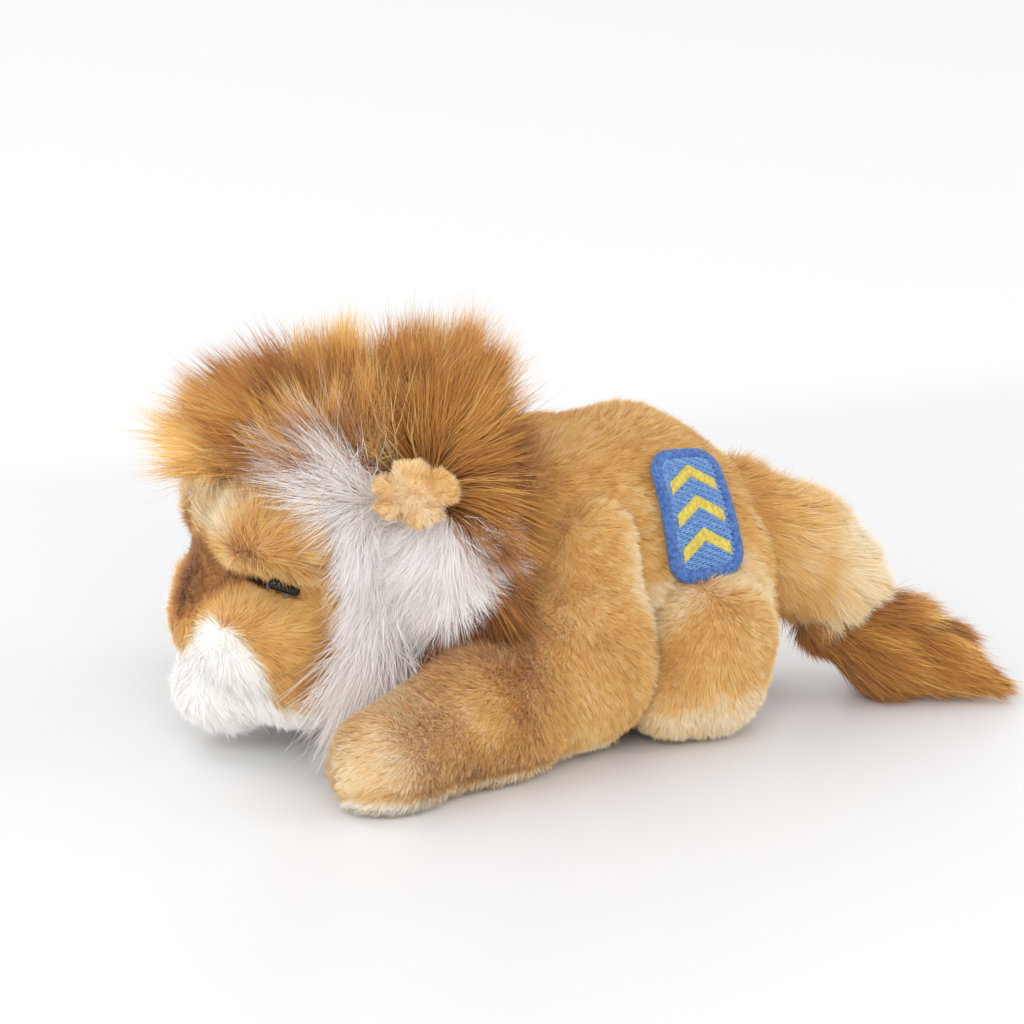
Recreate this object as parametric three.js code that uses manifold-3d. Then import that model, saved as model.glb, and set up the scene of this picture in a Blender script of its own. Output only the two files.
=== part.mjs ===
// A plush lion lying flat on its belly, chin on the floor, forelegs stretched forward and tail out behind.
// Millimetres, +Z up, floor at Z = 0. The lion faces -X, and its left side faces -Y.
// The origin is on the flat patch of belly that it rests on.
// The soft forms are as large as the toy with its pile combed flat. Long hair stands a little prouder.
import * as THREE from "three";
import { mergeVertices } from "three/addons/utils/BufferGeometryUtils.js";
import Module from "manifold-3d";

const wasm = await Module();
wasm.setup();

// Clearances and what all the soft pieces share, in millimetres.
const seamGap = 0.4; // between pieces that are sewn or pressed together
const motionGap = 0.8; // between pieces that move past each other
const coatThickness = 5; // short pile with its backing
const floorDip = 0.5; // how deep a resting form is pressed flat
const overrun = 20; // how far a cut runs past what it cuts
const blendWidth = 14; // how softly one swell runs into the next

// The torso, from the chest to the rump.
const torsoLength = 126;
const torsoWidth = 94;
const torsoHeight = 121;
const chestReach = 36; // from the origin forward to the chest

// The head, from the muzzle to the middle of the neck.
const headLength = 106;
const headWidth = 94;
const headHeight = 130;
const neckRadius = 26;
const neckHeight = 62;
const neckDepth = 10; // how far the middle of the neck lies before the chest
const neckBore = 15; // radius of the stuffing that runs through the neck

const chinHeight = 27;
const padRadius = 21;
const padHeight = 36;
const bridgeTopWidth = 44;
const bridgeTipWidth = 16;
const bridgeTop = 80;
const bridgeTip = 41;

// The eyes, each a dome with a shank that a washer holds inside the head.
const eyeRadius = 5;
const eyeHeight = 70;
const eyeSet = 34; // back from the muzzle's tip
const shankRadius = 1.5;
const shankLength = 12;
const washerRadius = 5;
const washerThickness = 1.5;

// The long hair around the face.
const maneLength = 146;
const maneWidth = 128;
const maneHeight = 116;
const maneRise = 98; // height of its middle
const maneSetBack = 77; // from the muzzle's tip to its middle
const maneLockDepth = 5;
const ruffWidth = 66;
const ruffThickness = 34;
const ruffSpread = 49; // from the middle plane
const ruffHeight = 133;
const spikeRadius = 9;

// The ears, each gathered into four lobes on a stem that is rooted in the crown.
const earSpread = 60;
const earHeight = 111;
const earSet = 82;
const earLobeRadius = 9.5;
const earThickness = 5;
const earStemRadius = 6;

// The forelegs.
const shoulderRadius = 33;
const shoulderHeight = 93;
const shoulderSpread = 40;
const shoulderSet = 38; // back from the chest
const forelegLength = 121; // from the shoulder to the tip of the paw, seen from above
const elbowRadius = 28;
const pawRadius = 22;
const soleThickness = 6;

// The hind legs.
const haunchRadius = 29;
const haunchHeight = 68;
const haunchSpread = 38;
const haunchSet = 92;
const footLength = 40;
const footRadius = 19;

// The tail and the tuft at its end.
const tailRadius = 16.5;
const tailSet = 113;
const tailHeight = 74;
const tailLength = 44;
const tailDrop = 42;
const tuftRadius = 20;
const tuftLength = 52;

// The plain patch that is stitched to the left hip.
const patchWidth = 30;
const patchHeight = 42;
const patchCorner = 8;
const patchThickness = 1.6;
const patchSet = 84;
const patchRise = 87;
const patchTilt = 12;

// Angles, in degrees.
const headLift = 10;
const forelegSwing = 25;
const hindLegSwing = 20;
const tailSwing = 20;
const forelegSplay = 25;
const footSplay = 8;
const tuftTurn = 28;

// How finely the round forms are drawn.
const roundSides = 14;
const domeSteps = 3;

const radians = THREE.MathUtils.degToRad;
const point = (x, y, z) => new THREE.Vector3(x, y, z);
const lengthwise = point(1, 0, 0);
const sideways = point(0, 1, 0);
const upward = point(0, 0, 1);

const plush = (color, roughness = 0.95) => new THREE.MeshStandardMaterial({ color, roughness, metalness: 0 });

// A closed geometry as a solid. Only its positions are kept, so that shared corners merge.
function solidOf(geometry) {
  const bare = geometry.clone();
  for (const name of Object.keys(bare.attributes)) {
    if (name !== "position") bare.deleteAttribute(name);
  }
  const merged = mergeVertices(bare);
  const index = merged.index.array;
  const corners = [];
  for (let i = 0; i < index.length; i += 3) {
    const [a, b, c] = [index[i], index[i + 1], index[i + 2]];
    if (a !== b && b !== c && a !== c) corners.push(a, b, c);
  }
  return new wasm.Manifold(new wasm.Mesh({
    numProp: 3,
    vertProperties: merged.attributes.position.array,
    triVerts: new Uint32Array(corners),
  }));
}

function geometryOf(solid) {
  const mesh = solid.getMesh();
  const geometry = new THREE.BufferGeometry();
  geometry.setAttribute("position", new THREE.BufferAttribute(new Float32Array(mesh.vertProperties), 3));
  geometry.setIndex(new THREE.BufferAttribute(new Uint32Array(mesh.triVerts), 1));
  return geometry;
}

// A skin over a row of rings with equal counts of corners, closed by a point at each end.
function skinOver(rings, first, last) {
  const corners = rings[0].length;
  const places = [first, ...rings.flat(), last];
  const end = places.length - 1;
  const at = (ring, corner) => 1 + ring * corners + (corner % corners);
  const index = [];
  for (let c = 0; c < corners; c += 1) {
    index.push(0, at(0, c + 1), at(0, c));
    for (let r = 0; r + 1 < rings.length; r += 1) {
      index.push(at(r, c), at(r, c + 1), at(r + 1, c));
      index.push(at(r, c + 1), at(r + 1, c + 1), at(r + 1, c));
    }
    index.push(end, at(rings.length - 1, c), at(rings.length - 1, c + 1));
  }
  const geometry = new THREE.BufferGeometry().setFromPoints(places);
  geometry.setIndex(index);
  return solidOf(geometry);
}

// About how far a place lies outside one swell, an ellipsoid.
function distanceToSwell(place, { at, radius }) {
  const away = place.clone().sub(at);
  const near = away.clone().divide(radius).length();
  const steep = away.divide(radius).divide(radius).length();
  return steep > 0 ? (near * (near - 1)) / steep : -Math.min(radius.x, radius.y, radius.z);
}

function distanceToSwells(place, swells) {
  return swells.map((swell) => distanceToSwell(place, swell)).reduce((a, b) => {
    const overlap = Math.max(blendWidth - Math.abs(a - b), 0) / blendWidth;
    return Math.min(a, b) - (overlap * overlap * blendWidth) / 4;
  });
}

// A stuffed form: swells blended into one skin, found along rays from its middle.
// outset moves the skin out, or in where it is negative. ridges can raise it along a ray.
function stuffed({ middle, swells, pole = lengthwise, sides, rings, outset = 0, ridges = () => 0 }) {
  const toPole = new THREE.Quaternion().setFromUnitVectors(upward, pole);
  const reach = Math.max(...swells.map(({ at, radius }) => at.distanceTo(middle) + radius.length()));
  const skinAlong = (ray, lift) => {
    let [inside, outside] = [0, reach + outset];
    for (let step = 0; step < 30; step += 1) {
      const half = (inside + outside) / 2;
      const place = middle.clone().addScaledVector(ray, half);
      if (distanceToSwells(place, swells) < outset + lift) inside = half;
      else outside = half;
    }
    return middle.clone().addScaledVector(ray, inside);
  };
  const ray = (turn, fall) => point(
    Math.sin(fall) * Math.cos(turn),
    Math.sin(fall) * Math.sin(turn),
    Math.cos(fall),
  ).applyQuaternion(toPole);
  const skin = [];
  for (let r = rings - 1; r >= 1; r -= 1) {
    const fall = (Math.PI * r) / rings;
    skin.push(Array.from({ length: sides }, (_, s) => {
      const turn = (2 * Math.PI * s) / sides;
      return skinAlong(ray(turn, fall), ridges(turn, fall));
    }));
  }
  return skinOver(skin, skinAlong(ray(0, Math.PI), 0), skinAlong(ray(0, 0), 0));
}

// Swells given as shares of a form that starts at a front and has a length, a width and a height.
function swellsOf(shares, front, length, width, height) {
  return shares.map(({ at, radius }) => ({
    at: point(front + at[0] * length, at[1] * width, at[2] * height),
    radius: point(radius[0] * length, radius[1] * width, radius[2] * height),
  }));
}

// A stuffed limb along a path, with round ends. Its radii are spaced evenly along the path.
// crown is a direction that the path never runs in, and depth flattens the limb along it.
function limb({ path, radii, crown = upward, depth = 1, rings, sides, caps = domeSteps, outset = 0 }) {
  const curve = new THREE.CatmullRomCurve3(path);
  const length = curve.getLength();
  const widths = new THREE.CatmullRomCurve3(radii.map((radius, i) => point(radius, i * length, 0)));
  const radiusAt = (share) => widths.getPoint(share).x;
  const capTurns = Array.from({ length: caps }, (_, c) => (Math.PI / 2) * ((c + 1) / caps));
  const startSteps = capTurns.map((turn) => ({
    along: radiusAt(0) * (1 - Math.cos(turn)) - outset * Math.cos(turn),
    wide: Math.sin(turn),
  }));
  const endSteps = capTurns.map((turn) => ({
    along: length - radiusAt(1) * (1 - Math.cos(turn)) + outset * Math.cos(turn),
    wide: Math.sin(turn),
  })).reverse();
  const from = radiusAt(0);
  const to = length - radiusAt(1);
  const middleSteps = Array.from({ length: rings - 1 }, (_, r) => ({
    along: from + ((to - from) * (r + 1)) / rings,
    wide: 1,
  }));
  const placeAt = (along) => {
    const share = THREE.MathUtils.clamp(along / length, 0, 1);
    const past = along - share * length;
    return curve.getPointAt(share).addScaledVector(curve.getTangentAt(share), past);
  };
  const skin = [...startSteps, ...middleSteps, ...endSteps].map(({ along, wide }) => {
    const share = THREE.MathUtils.clamp(along / length, 0, 1);
    const ahead = curve.getTangentAt(share);
    const side = new THREE.Vector3().crossVectors(crown, ahead).normalize();
    const over = new THREE.Vector3().crossVectors(ahead, side);
    const middle = placeAt(along);
    const radius = (radiusAt(share) + outset) * wide;
    const thickness = (radiusAt(share) * depth + outset) * wide;
    return Array.from({ length: sides }, (_, s) => {
      const turn = (2 * Math.PI * s) / sides;
      return middle.clone()
        .addScaledVector(side, radius * Math.cos(turn))
        .addScaledVector(over, thickness * Math.sin(turn));
    });
  });
  return skinOver(skin, placeAt(-outset), placeAt(length + outset));
}

// How far out the corners of a round hollow stand, so that a round piece can turn behind its flats.
const turningRoom = (radius, sides) => radius / Math.cos(Math.PI / sides);

// An upright stuffed pillar with domed ends. It keeps its shape as it turns about its own axis.
// With an outset it is the room that the pillar turns in.
function pillar({ x, y, radius, top, outset = 0, sides = roundSides }) {
  const wide = outset > 0 ? turningRoom(radius + outset, sides) : radius + outset;
  const bottom = -floorDip - outset;
  const profile = new THREE.Path();
  profile.absarc(0, bottom + wide, wide, -Math.PI / 2, 0, false);
  profile.absarc(0, top - radius, wide, 0, Math.PI / 2, false);
  const lathe = new THREE.LatheGeometry(profile.getPoints(2), sides);
  lathe.rotateX(Math.PI / 2);
  return solidOf(lathe.translate(x, y, 0));
}

function ball(middle, radius, sides = roundSides) {
  const sphere = new THREE.SphereGeometry(radius, sides, Math.round(sides / 2));
  return solidOf(sphere.rotateX(Math.PI / 2).translate(middle.x, middle.y, middle.z));
}

// The room that a ball turns in.
function socket(middle, radius, sides = roundSides) {
  return ball(middle, turningRoom(turningRoom(radius, sides), sides), sides);
}

// A round bar from one place to another.
function bar(from, to, radius, sides = 12) {
  const rod = new THREE.CylinderGeometry(radius, radius, from.distanceTo(to), sides);
  const turn = new THREE.Quaternion().setFromUnitVectors(sideways, to.clone().sub(from).normalize());
  rod.applyQuaternion(turn);
  const middle = from.clone().add(to).divideScalar(2);
  return solidOf(rod.translate(middle.x, middle.y, middle.z));
}

function block(low, high) {
  const size = high.clone().sub(low);
  const middle = high.clone().add(low).divideScalar(2);
  return solidOf(new THREE.BoxGeometry(size.x, size.y, size.z).translate(middle.x, middle.y, middle.z));
}

const moved = (solid, matrix) => solid.transform(matrix.elements);
const join = (solids) => solids.reduce((sum, solid) => sum.add(solid));
const mirrored = (solid) => moved(solid, new THREE.Matrix4().makeScale(1, -1, 1));

// The turn about an axis through a place.
function turnAbout(place, axis, degrees) {
  return new THREE.Matrix4().makeTranslation(place)
    .multiply(new THREE.Matrix4().makeRotationAxis(axis, radians(degrees)))
    .multiply(new THREE.Matrix4().makeTranslation(place.clone().negate()));
}

// What a solid passes through as it turns from the first angle to the last.
function swept(solid, place, axis, first, last, steps) {
  return join(Array.from({ length: steps + 1 }, (_, i) => {
    const degrees = first + ((last - first) * i) / steps;
    return moved(solid, turnAbout(place, axis, degrees));
  }));
}

// The largest of the bodies that a cut leaves.
function largest(solid) {
  return solid.decompose().reduce((best, piece) => (piece.volume() > best.volume() ? piece : best));
}

const muzzleX = -chestReach - neckDepth - headLength;
const neck = point(-chestReach - neckDepth, 0, neckHeight);
const everywhere = torsoLength + headLength + tailLength + tuftLength;
const floor = block(point(-everywhere, -everywhere, -everywhere), point(everywhere, everywhere, 0));
const onFloor = (solid) => solid.subtract(floor);

// The torso, as shares of its length, width and height.
const torsoSwellShares = [
  { at: [0.27, 0, 0.47], radius: [0.27, 0.447, 0.475] },
  { at: [0.52, 0, 0.5], radius: [0.4, 0.5, 0.504] },
  { at: [0.72, 0, 0.42], radius: [0.28, 0.47, 0.425] },
];
const torsoMiddle = point(-chestReach + torsoLength / 2, 0, torsoHeight / 2);
const torsoSwells = swellsOf(torsoSwellShares, -chestReach, torsoLength, torsoWidth, torsoHeight);
const torsoForm = (outset, sides = 24, rings = 13) => stuffed({
  middle: torsoMiddle, swells: torsoSwells, sides, rings, outset,
});

// The head, as shares of its length, width and height: the crown, the muzzle and the jaw.
const headSwellShares = [
  { at: [0.54, 0, 0.66], radius: [0.405, 0.5, 0.34] },
  { at: [0.3, 0, 0.322], radius: [0.3, 0.42, 0.327] },
  { at: [0.66, 0, 0.38], radius: [0.36, 0.47, 0.385] },
];
const headMiddle = point(muzzleX + headLength / 2, 0, headHeight / 2);
const headSwells = swellsOf(headSwellShares, muzzleX, headLength, headWidth, headHeight);
const headForm = (outset, sides = 22, rings = 14) => stuffed({
  middle: headMiddle, swells: headSwells, sides, rings, outset,
});

// The left foreleg: an upright shoulder that carries the foreleg forward and out to its paw.
const shoulder = point(-chestReach + shoulderSet, -shoulderSpread, 0);
const shoulderPillar = (outset, sides) => pillar({
  x: shoulder.x, y: shoulder.y, radius: shoulderRadius, top: shoulderHeight, outset, sides,
});
const forelegAim = point(-Math.cos(radians(forelegSplay)), -Math.sin(radians(forelegSplay)), 0);
const forelegPath = (() => {
  const along = (share, height) => shoulder.clone().addScaledVector(forelegAim, share).setZ(height);
  const bend = forelegLength - pawRadius;
  return [
    along(0, shoulderRadius),
    along(bend / 2, elbowRadius - floorDip),
    along(bend, pawRadius - floorDip),
    along(forelegLength, pawRadius - floorDip),
  ];
})();
const forelegArm = (outset, sides = 16, rings = 7) => limb({
  path: forelegPath, radii: [shoulderRadius, elbowRadius, pawRadius, pawRadius], rings, sides, outset,
});

// The left hind leg, folded under the haunch with its foot pointing forward.
const hip = point(-chestReach + haunchSet, -haunchSpread, 0);
const haunchPillar = (outset, sides) => pillar({
  x: hip.x, y: hip.y, radius: haunchRadius, top: haunchHeight, outset, sides,
});
const footAim = point(-Math.cos(radians(footSplay)), -Math.sin(radians(footSplay)), 0);
const footForm = (outset, sides = 14, rings = 3) => limb({
  path: [hip.clone().setZ(footRadius - floorDip),
    hip.clone().addScaledVector(footAim, footLength).setZ(footRadius - floorDip)],
  radii: [footRadius, footRadius],
  rings,
  sides,
  outset,
});

// The tail, which slopes down behind the torso, and the tuft that lies on the floor.
const tailRoot = point(-chestReach + tailSet, 0, tailHeight);
const tailPath = [
  tailRoot,
  tailRoot.clone().add(point(tailLength / 2, 0, -tailDrop / 3)),
  tailRoot.clone().add(point(tailLength * 0.85, -tailRadius / 4, -tailDrop * 0.7)),
  tailRoot.clone().add(point(tailLength, -tailRadius / 2, -tailDrop)),
];
const tailForm = (outset, sides = 14, rings = 6) => limb({
  path: tailPath, radii: [tailRadius, tailRadius, tailRadius, tailRadius], rings, sides, outset,
});

// What a moving piece would pass through is cut back over its whole motion.
// A coarse cutter stands out by as much as its flats would fall short of the fine surface.
const coarse = { sides: 16, rings: 9, allowance: 2.8 };
const slim = { sides: 10, rings: 4, allowance: 2 };
const bothSides = (solid) => solid.add(mirrored(solid));
const torsoPast = (place, axis, first, last, steps) => swept(
  torsoForm(motionGap + coarse.allowance, coarse.sides, coarse.rings), place, axis, first, last, steps,
);
const forelegPast = swept(
  forelegArm(motionGap + slim.allowance, slim.sides, slim.rings), shoulder, upward, 0, forelegSwing, 1,
).add(shoulderPillar(motionGap, slim.sides));
const headPast = torsoPast(neck, sideways, 0, -headLift, 1);
const hairPast = headPast.add(swept(bothSides(forelegPast), neck, sideways, 0, -headLift, 1));

// A skin with a hollow and a bore that opens it, and the stuffing that fills both.
function skinAndStuffing(whole, hollow, filling, boreFrom, boreTo, boreRadius) {
  const bore = (radius, past) => {
    const ahead = boreTo.clone().sub(boreFrom).normalize().multiplyScalar(past);
    return bar(boreFrom, boreTo.clone().add(ahead), radius);
  };
  const skin = whole.subtract(hollow.add(bore(boreRadius, overrun)));
  const stuffing = filling.add(bore(boreRadius - seamGap, 0)).intersect(whole);
  return [skin, stuffing];
}

// The torso is open at the neck, at the four legs and at the tail, where their roots are sewn in.
const roots = (gap, sides) => join([
  socket(neck, neckRadius + gap, sides),
  bothSides(shoulderPillar(gap, sides)),
  bothSides(haunchPillar(gap, sides)),
  socket(tailRoot, tailRadius + gap, sides),
]);
const inner = { sides: 10, rings: 6 };
const core = { sides: 8, rings: 3, caps: 2 };
const torsoWhole = onFloor(torsoForm(0));
const torsoHollow = torsoForm(-coatThickness, inner.sides, inner.rings);
const torsoFilling = torsoForm(-coatThickness - seamGap, inner.sides, inner.rings);
const torsoSkin = largest(torsoWhole.subtract(torsoHollow).subtract(roots(seamGap)));
const torsoStuffing = largest(torsoFilling.subtract(roots(motionGap, slim.sides)));

// The head, with the neck as a round root that turns in the torso.
const headWhole = onFloor(headForm(0).subtract(headPast).add(ball(neck, neckRadius)));
const headHollow = headForm(-coatThickness, inner.sides, inner.rings).subtract(headPast);
const headFilling = headForm(-coatThickness - seamGap, inner.sides, inner.rings).subtract(headPast);
const neckStart = point((neck.x + headMiddle.x) / 2, 0, neckHeight);
const neckEnd = neck.clone().add(point(neckRadius, 0, 0));
const [headShell, headStuffing] = skinAndStuffing(
  headWhole, headHollow, headFilling, neckStart, neckEnd, neckBore,
);

// The white of the chin: all below a line, and a round pad each side of the muzzle's tip.
const padPlace = point(muzzleX + padRadius * 0.75, -padRadius * 0.62, padHeight);
const chinRegion = (gap) => join([
  block(
    point(muzzleX - overrun, -headWidth, -overrun),
    point(headMiddle.x + headLength * 0.12, headWidth, chinHeight + gap),
  ),
  bothSides(ball(padPlace, padRadius + gap, 20)),
]);

// The bridge of the nose: a strip down the front of the muzzle that narrows to the tip.
const bridgeRegion = (gap) => {
  const outline = new THREE.Shape();
  const [wide, narrow] = [bridgeTopWidth / 2 + gap, bridgeTipWidth / 2 + gap];
  outline.moveTo(-narrow, bridgeTip - gap);
  outline.lineTo(narrow, bridgeTip - gap);
  outline.lineTo(wide, bridgeTop + gap);
  outline.lineTo(-wide, bridgeTop + gap);
  const strip = new THREE.ExtrudeGeometry(outline, { depth: headLength, bevelEnabled: false });
  strip.rotateX(Math.PI / 2).rotateZ(Math.PI / 2);
  const front = muzzleX - overrun;
  return solidOf(strip.translate(front, 0, 0));
};
const half = seamGap / 2;
const bridge = largest(headShell.intersect(bridgeRegion(-half)).subtract(chinRegion(half)));
const chin = largest(headShell.intersect(chinRegion(-half)));
const headSkin = largest(headShell.subtract(bridgeRegion(half)).subtract(chinRegion(half)));

// What a ray from the middle plane of the head meets: the place on its skin beside a given place.
function besideHead(x, z, outset = 0) {
  const reaches = [0, headWidth];
  for (let step = 0; step < 30; step += 1) {
    const side = (reaches[0] + reaches[1]) / 2;
    if (distanceToSwells(point(x, -side, z), headSwells) < outset) reaches[0] = side;
    else reaches[1] = side;
  }
  return point(x, -reaches[0], z);
}

// The eye: a dome on the skin, a shank through it, and a washer that holds it from inside.
const eyeX = muzzleX + eyeSet;
const eyeSeat = besideHead(eyeX, eyeHeight);
const inward = point(0.5, 0.8, -0.1).normalize();
const eyeInside = eyeSeat.clone().addScaledVector(inward, shankLength);
const eye = ball(eyeSeat, eyeRadius, 12).add(bar(eyeSeat, eyeInside, shankRadius, 8));
const washerNear = eyeSeat.clone().addScaledVector(inward, eyeRadius + coatThickness / 2);
const washerFar = washerNear.clone().addScaledVector(inward, washerThickness);
const washer = bar(washerNear, washerFar, washerRadius)
  .subtract(bar(washerNear.clone().addScaledVector(inward, -overrun), eyeInside, shankRadius + seamGap, 8));
const eyeRoom = join([
  ball(eyeSeat, eyeRadius + seamGap, 12),
  bar(eyeSeat, eyeInside.clone().addScaledVector(inward, seamGap), shankRadius + seamGap, 8),
  bar(
    washerNear.clone().addScaledVector(inward, -seamGap),
    washerFar.clone().addScaledVector(inward, seamGap),
    washerRadius + seamGap,
  ),
]);
const eyesRoom = bothSides(eyeRoom);

// The ear: four lobes gathered on a stem, with a paler lining in front.
const earPlace = point(muzzleX + earSet, -earSpread, earHeight);
const earFacing = point(-0.12, -0.86, 0.5).normalize();
const earRoot = besideHead(earPlace.x, (earHeight + headSwells[0].at.z) / 2, -coatThickness / 2);
const earLobeTurns = [-58, 2, 62, 122];
const earForm = (gap) => {
  const lobes = earLobeTurns.map((degrees) => {
    const lobe = new THREE.SphereGeometry(1, 10, 6);
    lobe.rotateX(Math.PI / 2);
    lobe.scale(earLobeRadius + gap, earLobeRadius * 0.78 + gap, earThickness + gap);
    lobe.translate(earLobeRadius * 0.8, 0, 0);
    lobe.rotateZ(radians(degrees));
    lobe.applyQuaternion(new THREE.Quaternion().setFromUnitVectors(upward, earFacing));
    return solidOf(lobe.translate(earPlace.x, earPlace.y, earPlace.z));
  });
  return join([...lobes, bar(earPlace, earRoot, earStemRadius + gap, 12)]);
};
const earHalf = (lift) => {
  const slab = new THREE.BoxGeometry(overrun * 4, overrun * 4, overrun * 2).translate(0, 0, overrun + lift);
  slab.applyQuaternion(new THREE.Quaternion().setFromUnitVectors(upward, earFacing));
  return solidOf(slab.translate(earPlace.x, earPlace.y, earPlace.z));
};
const headGrown = headForm(seamGap + coarse.allowance, coarse.sides, coarse.rings);
const earWhole = earForm(0).subtract(headGrown);
const ear = largest(earWhole.subtract(earHalf(half)));
const earLining = largest(earWhole.intersect(earHalf(half + seamGap)));

// The ruff: pale long hair down the side of the face, from brow to floor, with a spike behind the ear.
const ruffAt = (along, out, up) => point(
  muzzleX + along * headLength, -out * ruffSpread, up * ruffHeight,
);
const ruffPathShares = [
  [0.29, 0.86, 1],
  [0.5, 1, 0.88],
  [0.74, 1.06, 0.62],
  [0.74, 1.04, 0.36],
  [0.6, 1, 0.18],
  [0.42, 0.92, 0.05],
];
const ruffRadiusShares = [0.16, 0.46, 1, 0.72, 0.4, 0.16];
const ruffForm = (outset) => limb({
  path: ruffPathShares.map(([along, out, up]) => ruffAt(along, out, up)),
  radii: ruffRadiusShares.map((share) => (share * ruffWidth) / 2),
  crown: sideways,
  depth: ruffThickness / ruffWidth,
  rings: 9,
  sides: 12,
  outset,
}).add(limb({
  path: [ruffAt(0.68, 1.1, 0.62), ruffAt(0.95, 1.3, 0.7), ruffAt(1.1, 1.45, 0.77)],
  radii: [spikeRadius * 1.6, spikeRadius, spikeRadius / 3],
  rings: 3,
  sides: 8,
  outset,
}));
const ruff = largest(onFloor(ruffForm(0)
  .subtract(headGrown)
  .subtract(earForm(seamGap))
  .subtract(hairPast)
  .subtract(eyeRoom)));

// The mane: a crown of locks that stands out all round the back of the head.
const maneMiddle = point(muzzleX + maneSetBack, 0, maneRise);
const maneSwell = { at: maneMiddle, radius: point(maneLength, maneWidth, maneHeight).divideScalar(2) };
const maneLocks = 20;
const maneTwist = 3;
const lockWave = (turn, fall, locks, twist) => {
  const wave = (turn * locks) / (2 * Math.PI) + twist * Math.cos(fall);
  return Math.abs(2 * (wave - Math.floor(wave)) - 1) - 0.5;
};
const maneForm = stuffed({
  middle: maneMiddle,
  swells: [maneSwell],
  pole: sideways,
  sides: maneLocks * 2,
  rings: 11,
  ridges: (turn, fall) => 2 * maneLockDepth * lockWave(turn, fall, maneLocks, maneTwist) * Math.sin(fall),
});
const faceOpeningShares = [
  { at: [-0.07, 0, 0.27], radius: [0.58, 0.86, 0.57] },
  { at: [0.2, 0, 0.58], radius: [0.31, 0.86, 0.22] },
];
const faceOpening = stuffed({
  middle: point(muzzleX, 0, headHeight / 2),
  swells: swellsOf(faceOpeningShares, muzzleX, headLength, headWidth, headHeight),
  sides: slim.sides,
  rings: coarse.rings,
});
const mane = largest(maneForm
  .subtract(faceOpening)
  .subtract(headGrown)
  .subtract(bothSides(ruffForm(2 * seamGap).add(earPocket())))
  .subtract(ball(neck, neckRadius + seamGap))
  .subtract(hairPast));

// Room for the ear and its stem, open outward, so that the mane stands behind the ear.
function earPocket() {
  const behind = earPlace.clone().addScaledVector(earFacing, -earThickness - seamGap);
  const outer = earPlace.clone().addScaledVector(earFacing, overrun * 2);
  return bar(behind, outer, earLobeRadius * 2).add(bar(earPlace, earRoot, earStemRadius + seamGap, 12));
}

// The legs. Each root is round about the axis that the leg swings on. corePath keeps clear of the torso.
function legPieces(root, pillarOf, armOf, coreLine, swing, neighbour) {
  const past = torsoPast(root, upward, 0, -swing, 2);
  const beside = (gap) => (neighbour ? [swept(neighbour(gap), root, upward, 0, -swing, 2)] : []);
  const clear = (solid, gap) => beside(gap).reduce((left, cut) => left.subtract(cut), solid);
  const whole = clear(onFloor(armOf(0).subtract(past).add(pillarOf(0))), motionGap);
  const inside = (gap) => clear(
    pillarOf(-coatThickness - gap, core.sides).add(limb({ ...coreLine, ...core, outset: -gap })),
    coatThickness + motionGap + gap,
  );
  return { whole, hollow: inside(0), filling: inside(seamGap) };
}
const boreShare = 0.4;
const [, elbow, wrist] = forelegPath;
const forelegCore = {
  path: [
    shoulder.clone().add(point(0, -shoulderRadius * 0.35, shoulderRadius * 0.8)),
    elbow.clone().add(point(0, -elbowRadius * 0.1, 0)),
    wrist,
  ],
  radii: [elbowRadius * 0.5, elbowRadius * 0.55, pawRadius * 0.6],
};
const footCore = {
  path: [
    hip.clone().setZ(footRadius),
    hip.clone().addScaledVector(footAim, footLength * 0.6).setZ(footRadius),
  ],
  radii: [footRadius * 0.5, footRadius * 0.5],
};
const foreleg = legPieces(shoulder, shoulderPillar, forelegArm, forelegCore, forelegSwing);
const hindLeg = legPieces(hip, haunchPillar, footForm, footCore, hindLegSwing, shoulderPillar);
const rootBore = (place, radius, top) => [
  place.clone().setZ(top / 2),
  place.clone().add(point(0, radius, top / 2)),
  radius * boreShare,
];
const [forelegShell, forelegStuffing] = skinAndStuffing(
  foreleg.whole, foreleg.hollow, foreleg.filling, ...rootBore(shoulder, shoulderRadius, shoulderHeight),
);
const [hindLegSkin, hindLegStuffing] = skinAndStuffing(
  hindLeg.whole, hindLeg.hollow, hindLeg.filling, ...rootBore(hip, haunchRadius, haunchHeight),
);
const soleRegion = (gap) => block(
  point(-everywhere, -everywhere, -overrun),
  point(everywhere, 0, soleThickness + gap),
);
const forelegSkin = largest(forelegShell.subtract(soleRegion(half)));
const forelegSole = largest(forelegShell.intersect(soleRegion(-half)));

// The tail and its tuft.
const tailPast = torsoPast(tailRoot, upward, -tailSwing, tailSwing, 2);
const tailWhole = onFloor(tailForm(0).subtract(tailPast).add(ball(tailRoot, tailRadius)));
const tailEnd = tailPath[tailPath.length - 1];
const tuftAim = point(Math.cos(radians(tuftTurn)), -Math.sin(radians(tuftTurn)), 0);
const tuftPath = [
  tailEnd.clone().add(point(-tuftRadius * 0.4, 0, tuftRadius * 0.2)),
  tailEnd.clone().addScaledVector(tuftAim, tuftLength * 0.4).setZ(tuftRadius * 0.7),
  tailEnd.clone().addScaledVector(tuftAim, tuftLength).setZ(tuftRadius * 0.25),
];
const tuftForm = limb({
  path: tuftPath, radii: [tuftRadius, tuftRadius * 0.9, tuftRadius * 0.2], rings: 6, sides: 16,
});
const tuft = largest(onFloor(tuftForm.subtract(tailForm(seamGap)).subtract(tailPast)));
const tailCore = (gap) => limb({
  path: tailPath, radii: tailPath.map(() => tailRadius * 0.45), ...core, rings: inner.rings, outset: -gap,
}).add(ball(tailRoot, tailRadius - coatThickness - gap, inner.sides));
const tailFront = tailRoot.clone().add(point(-tailRadius, 0, 0));
const [tailSkin, tailStuffing] = skinAndStuffing(
  tailWhole, tailCore(0), tailCore(seamGap), tailRoot, tailFront, tailRadius * boreShare,
);

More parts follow.
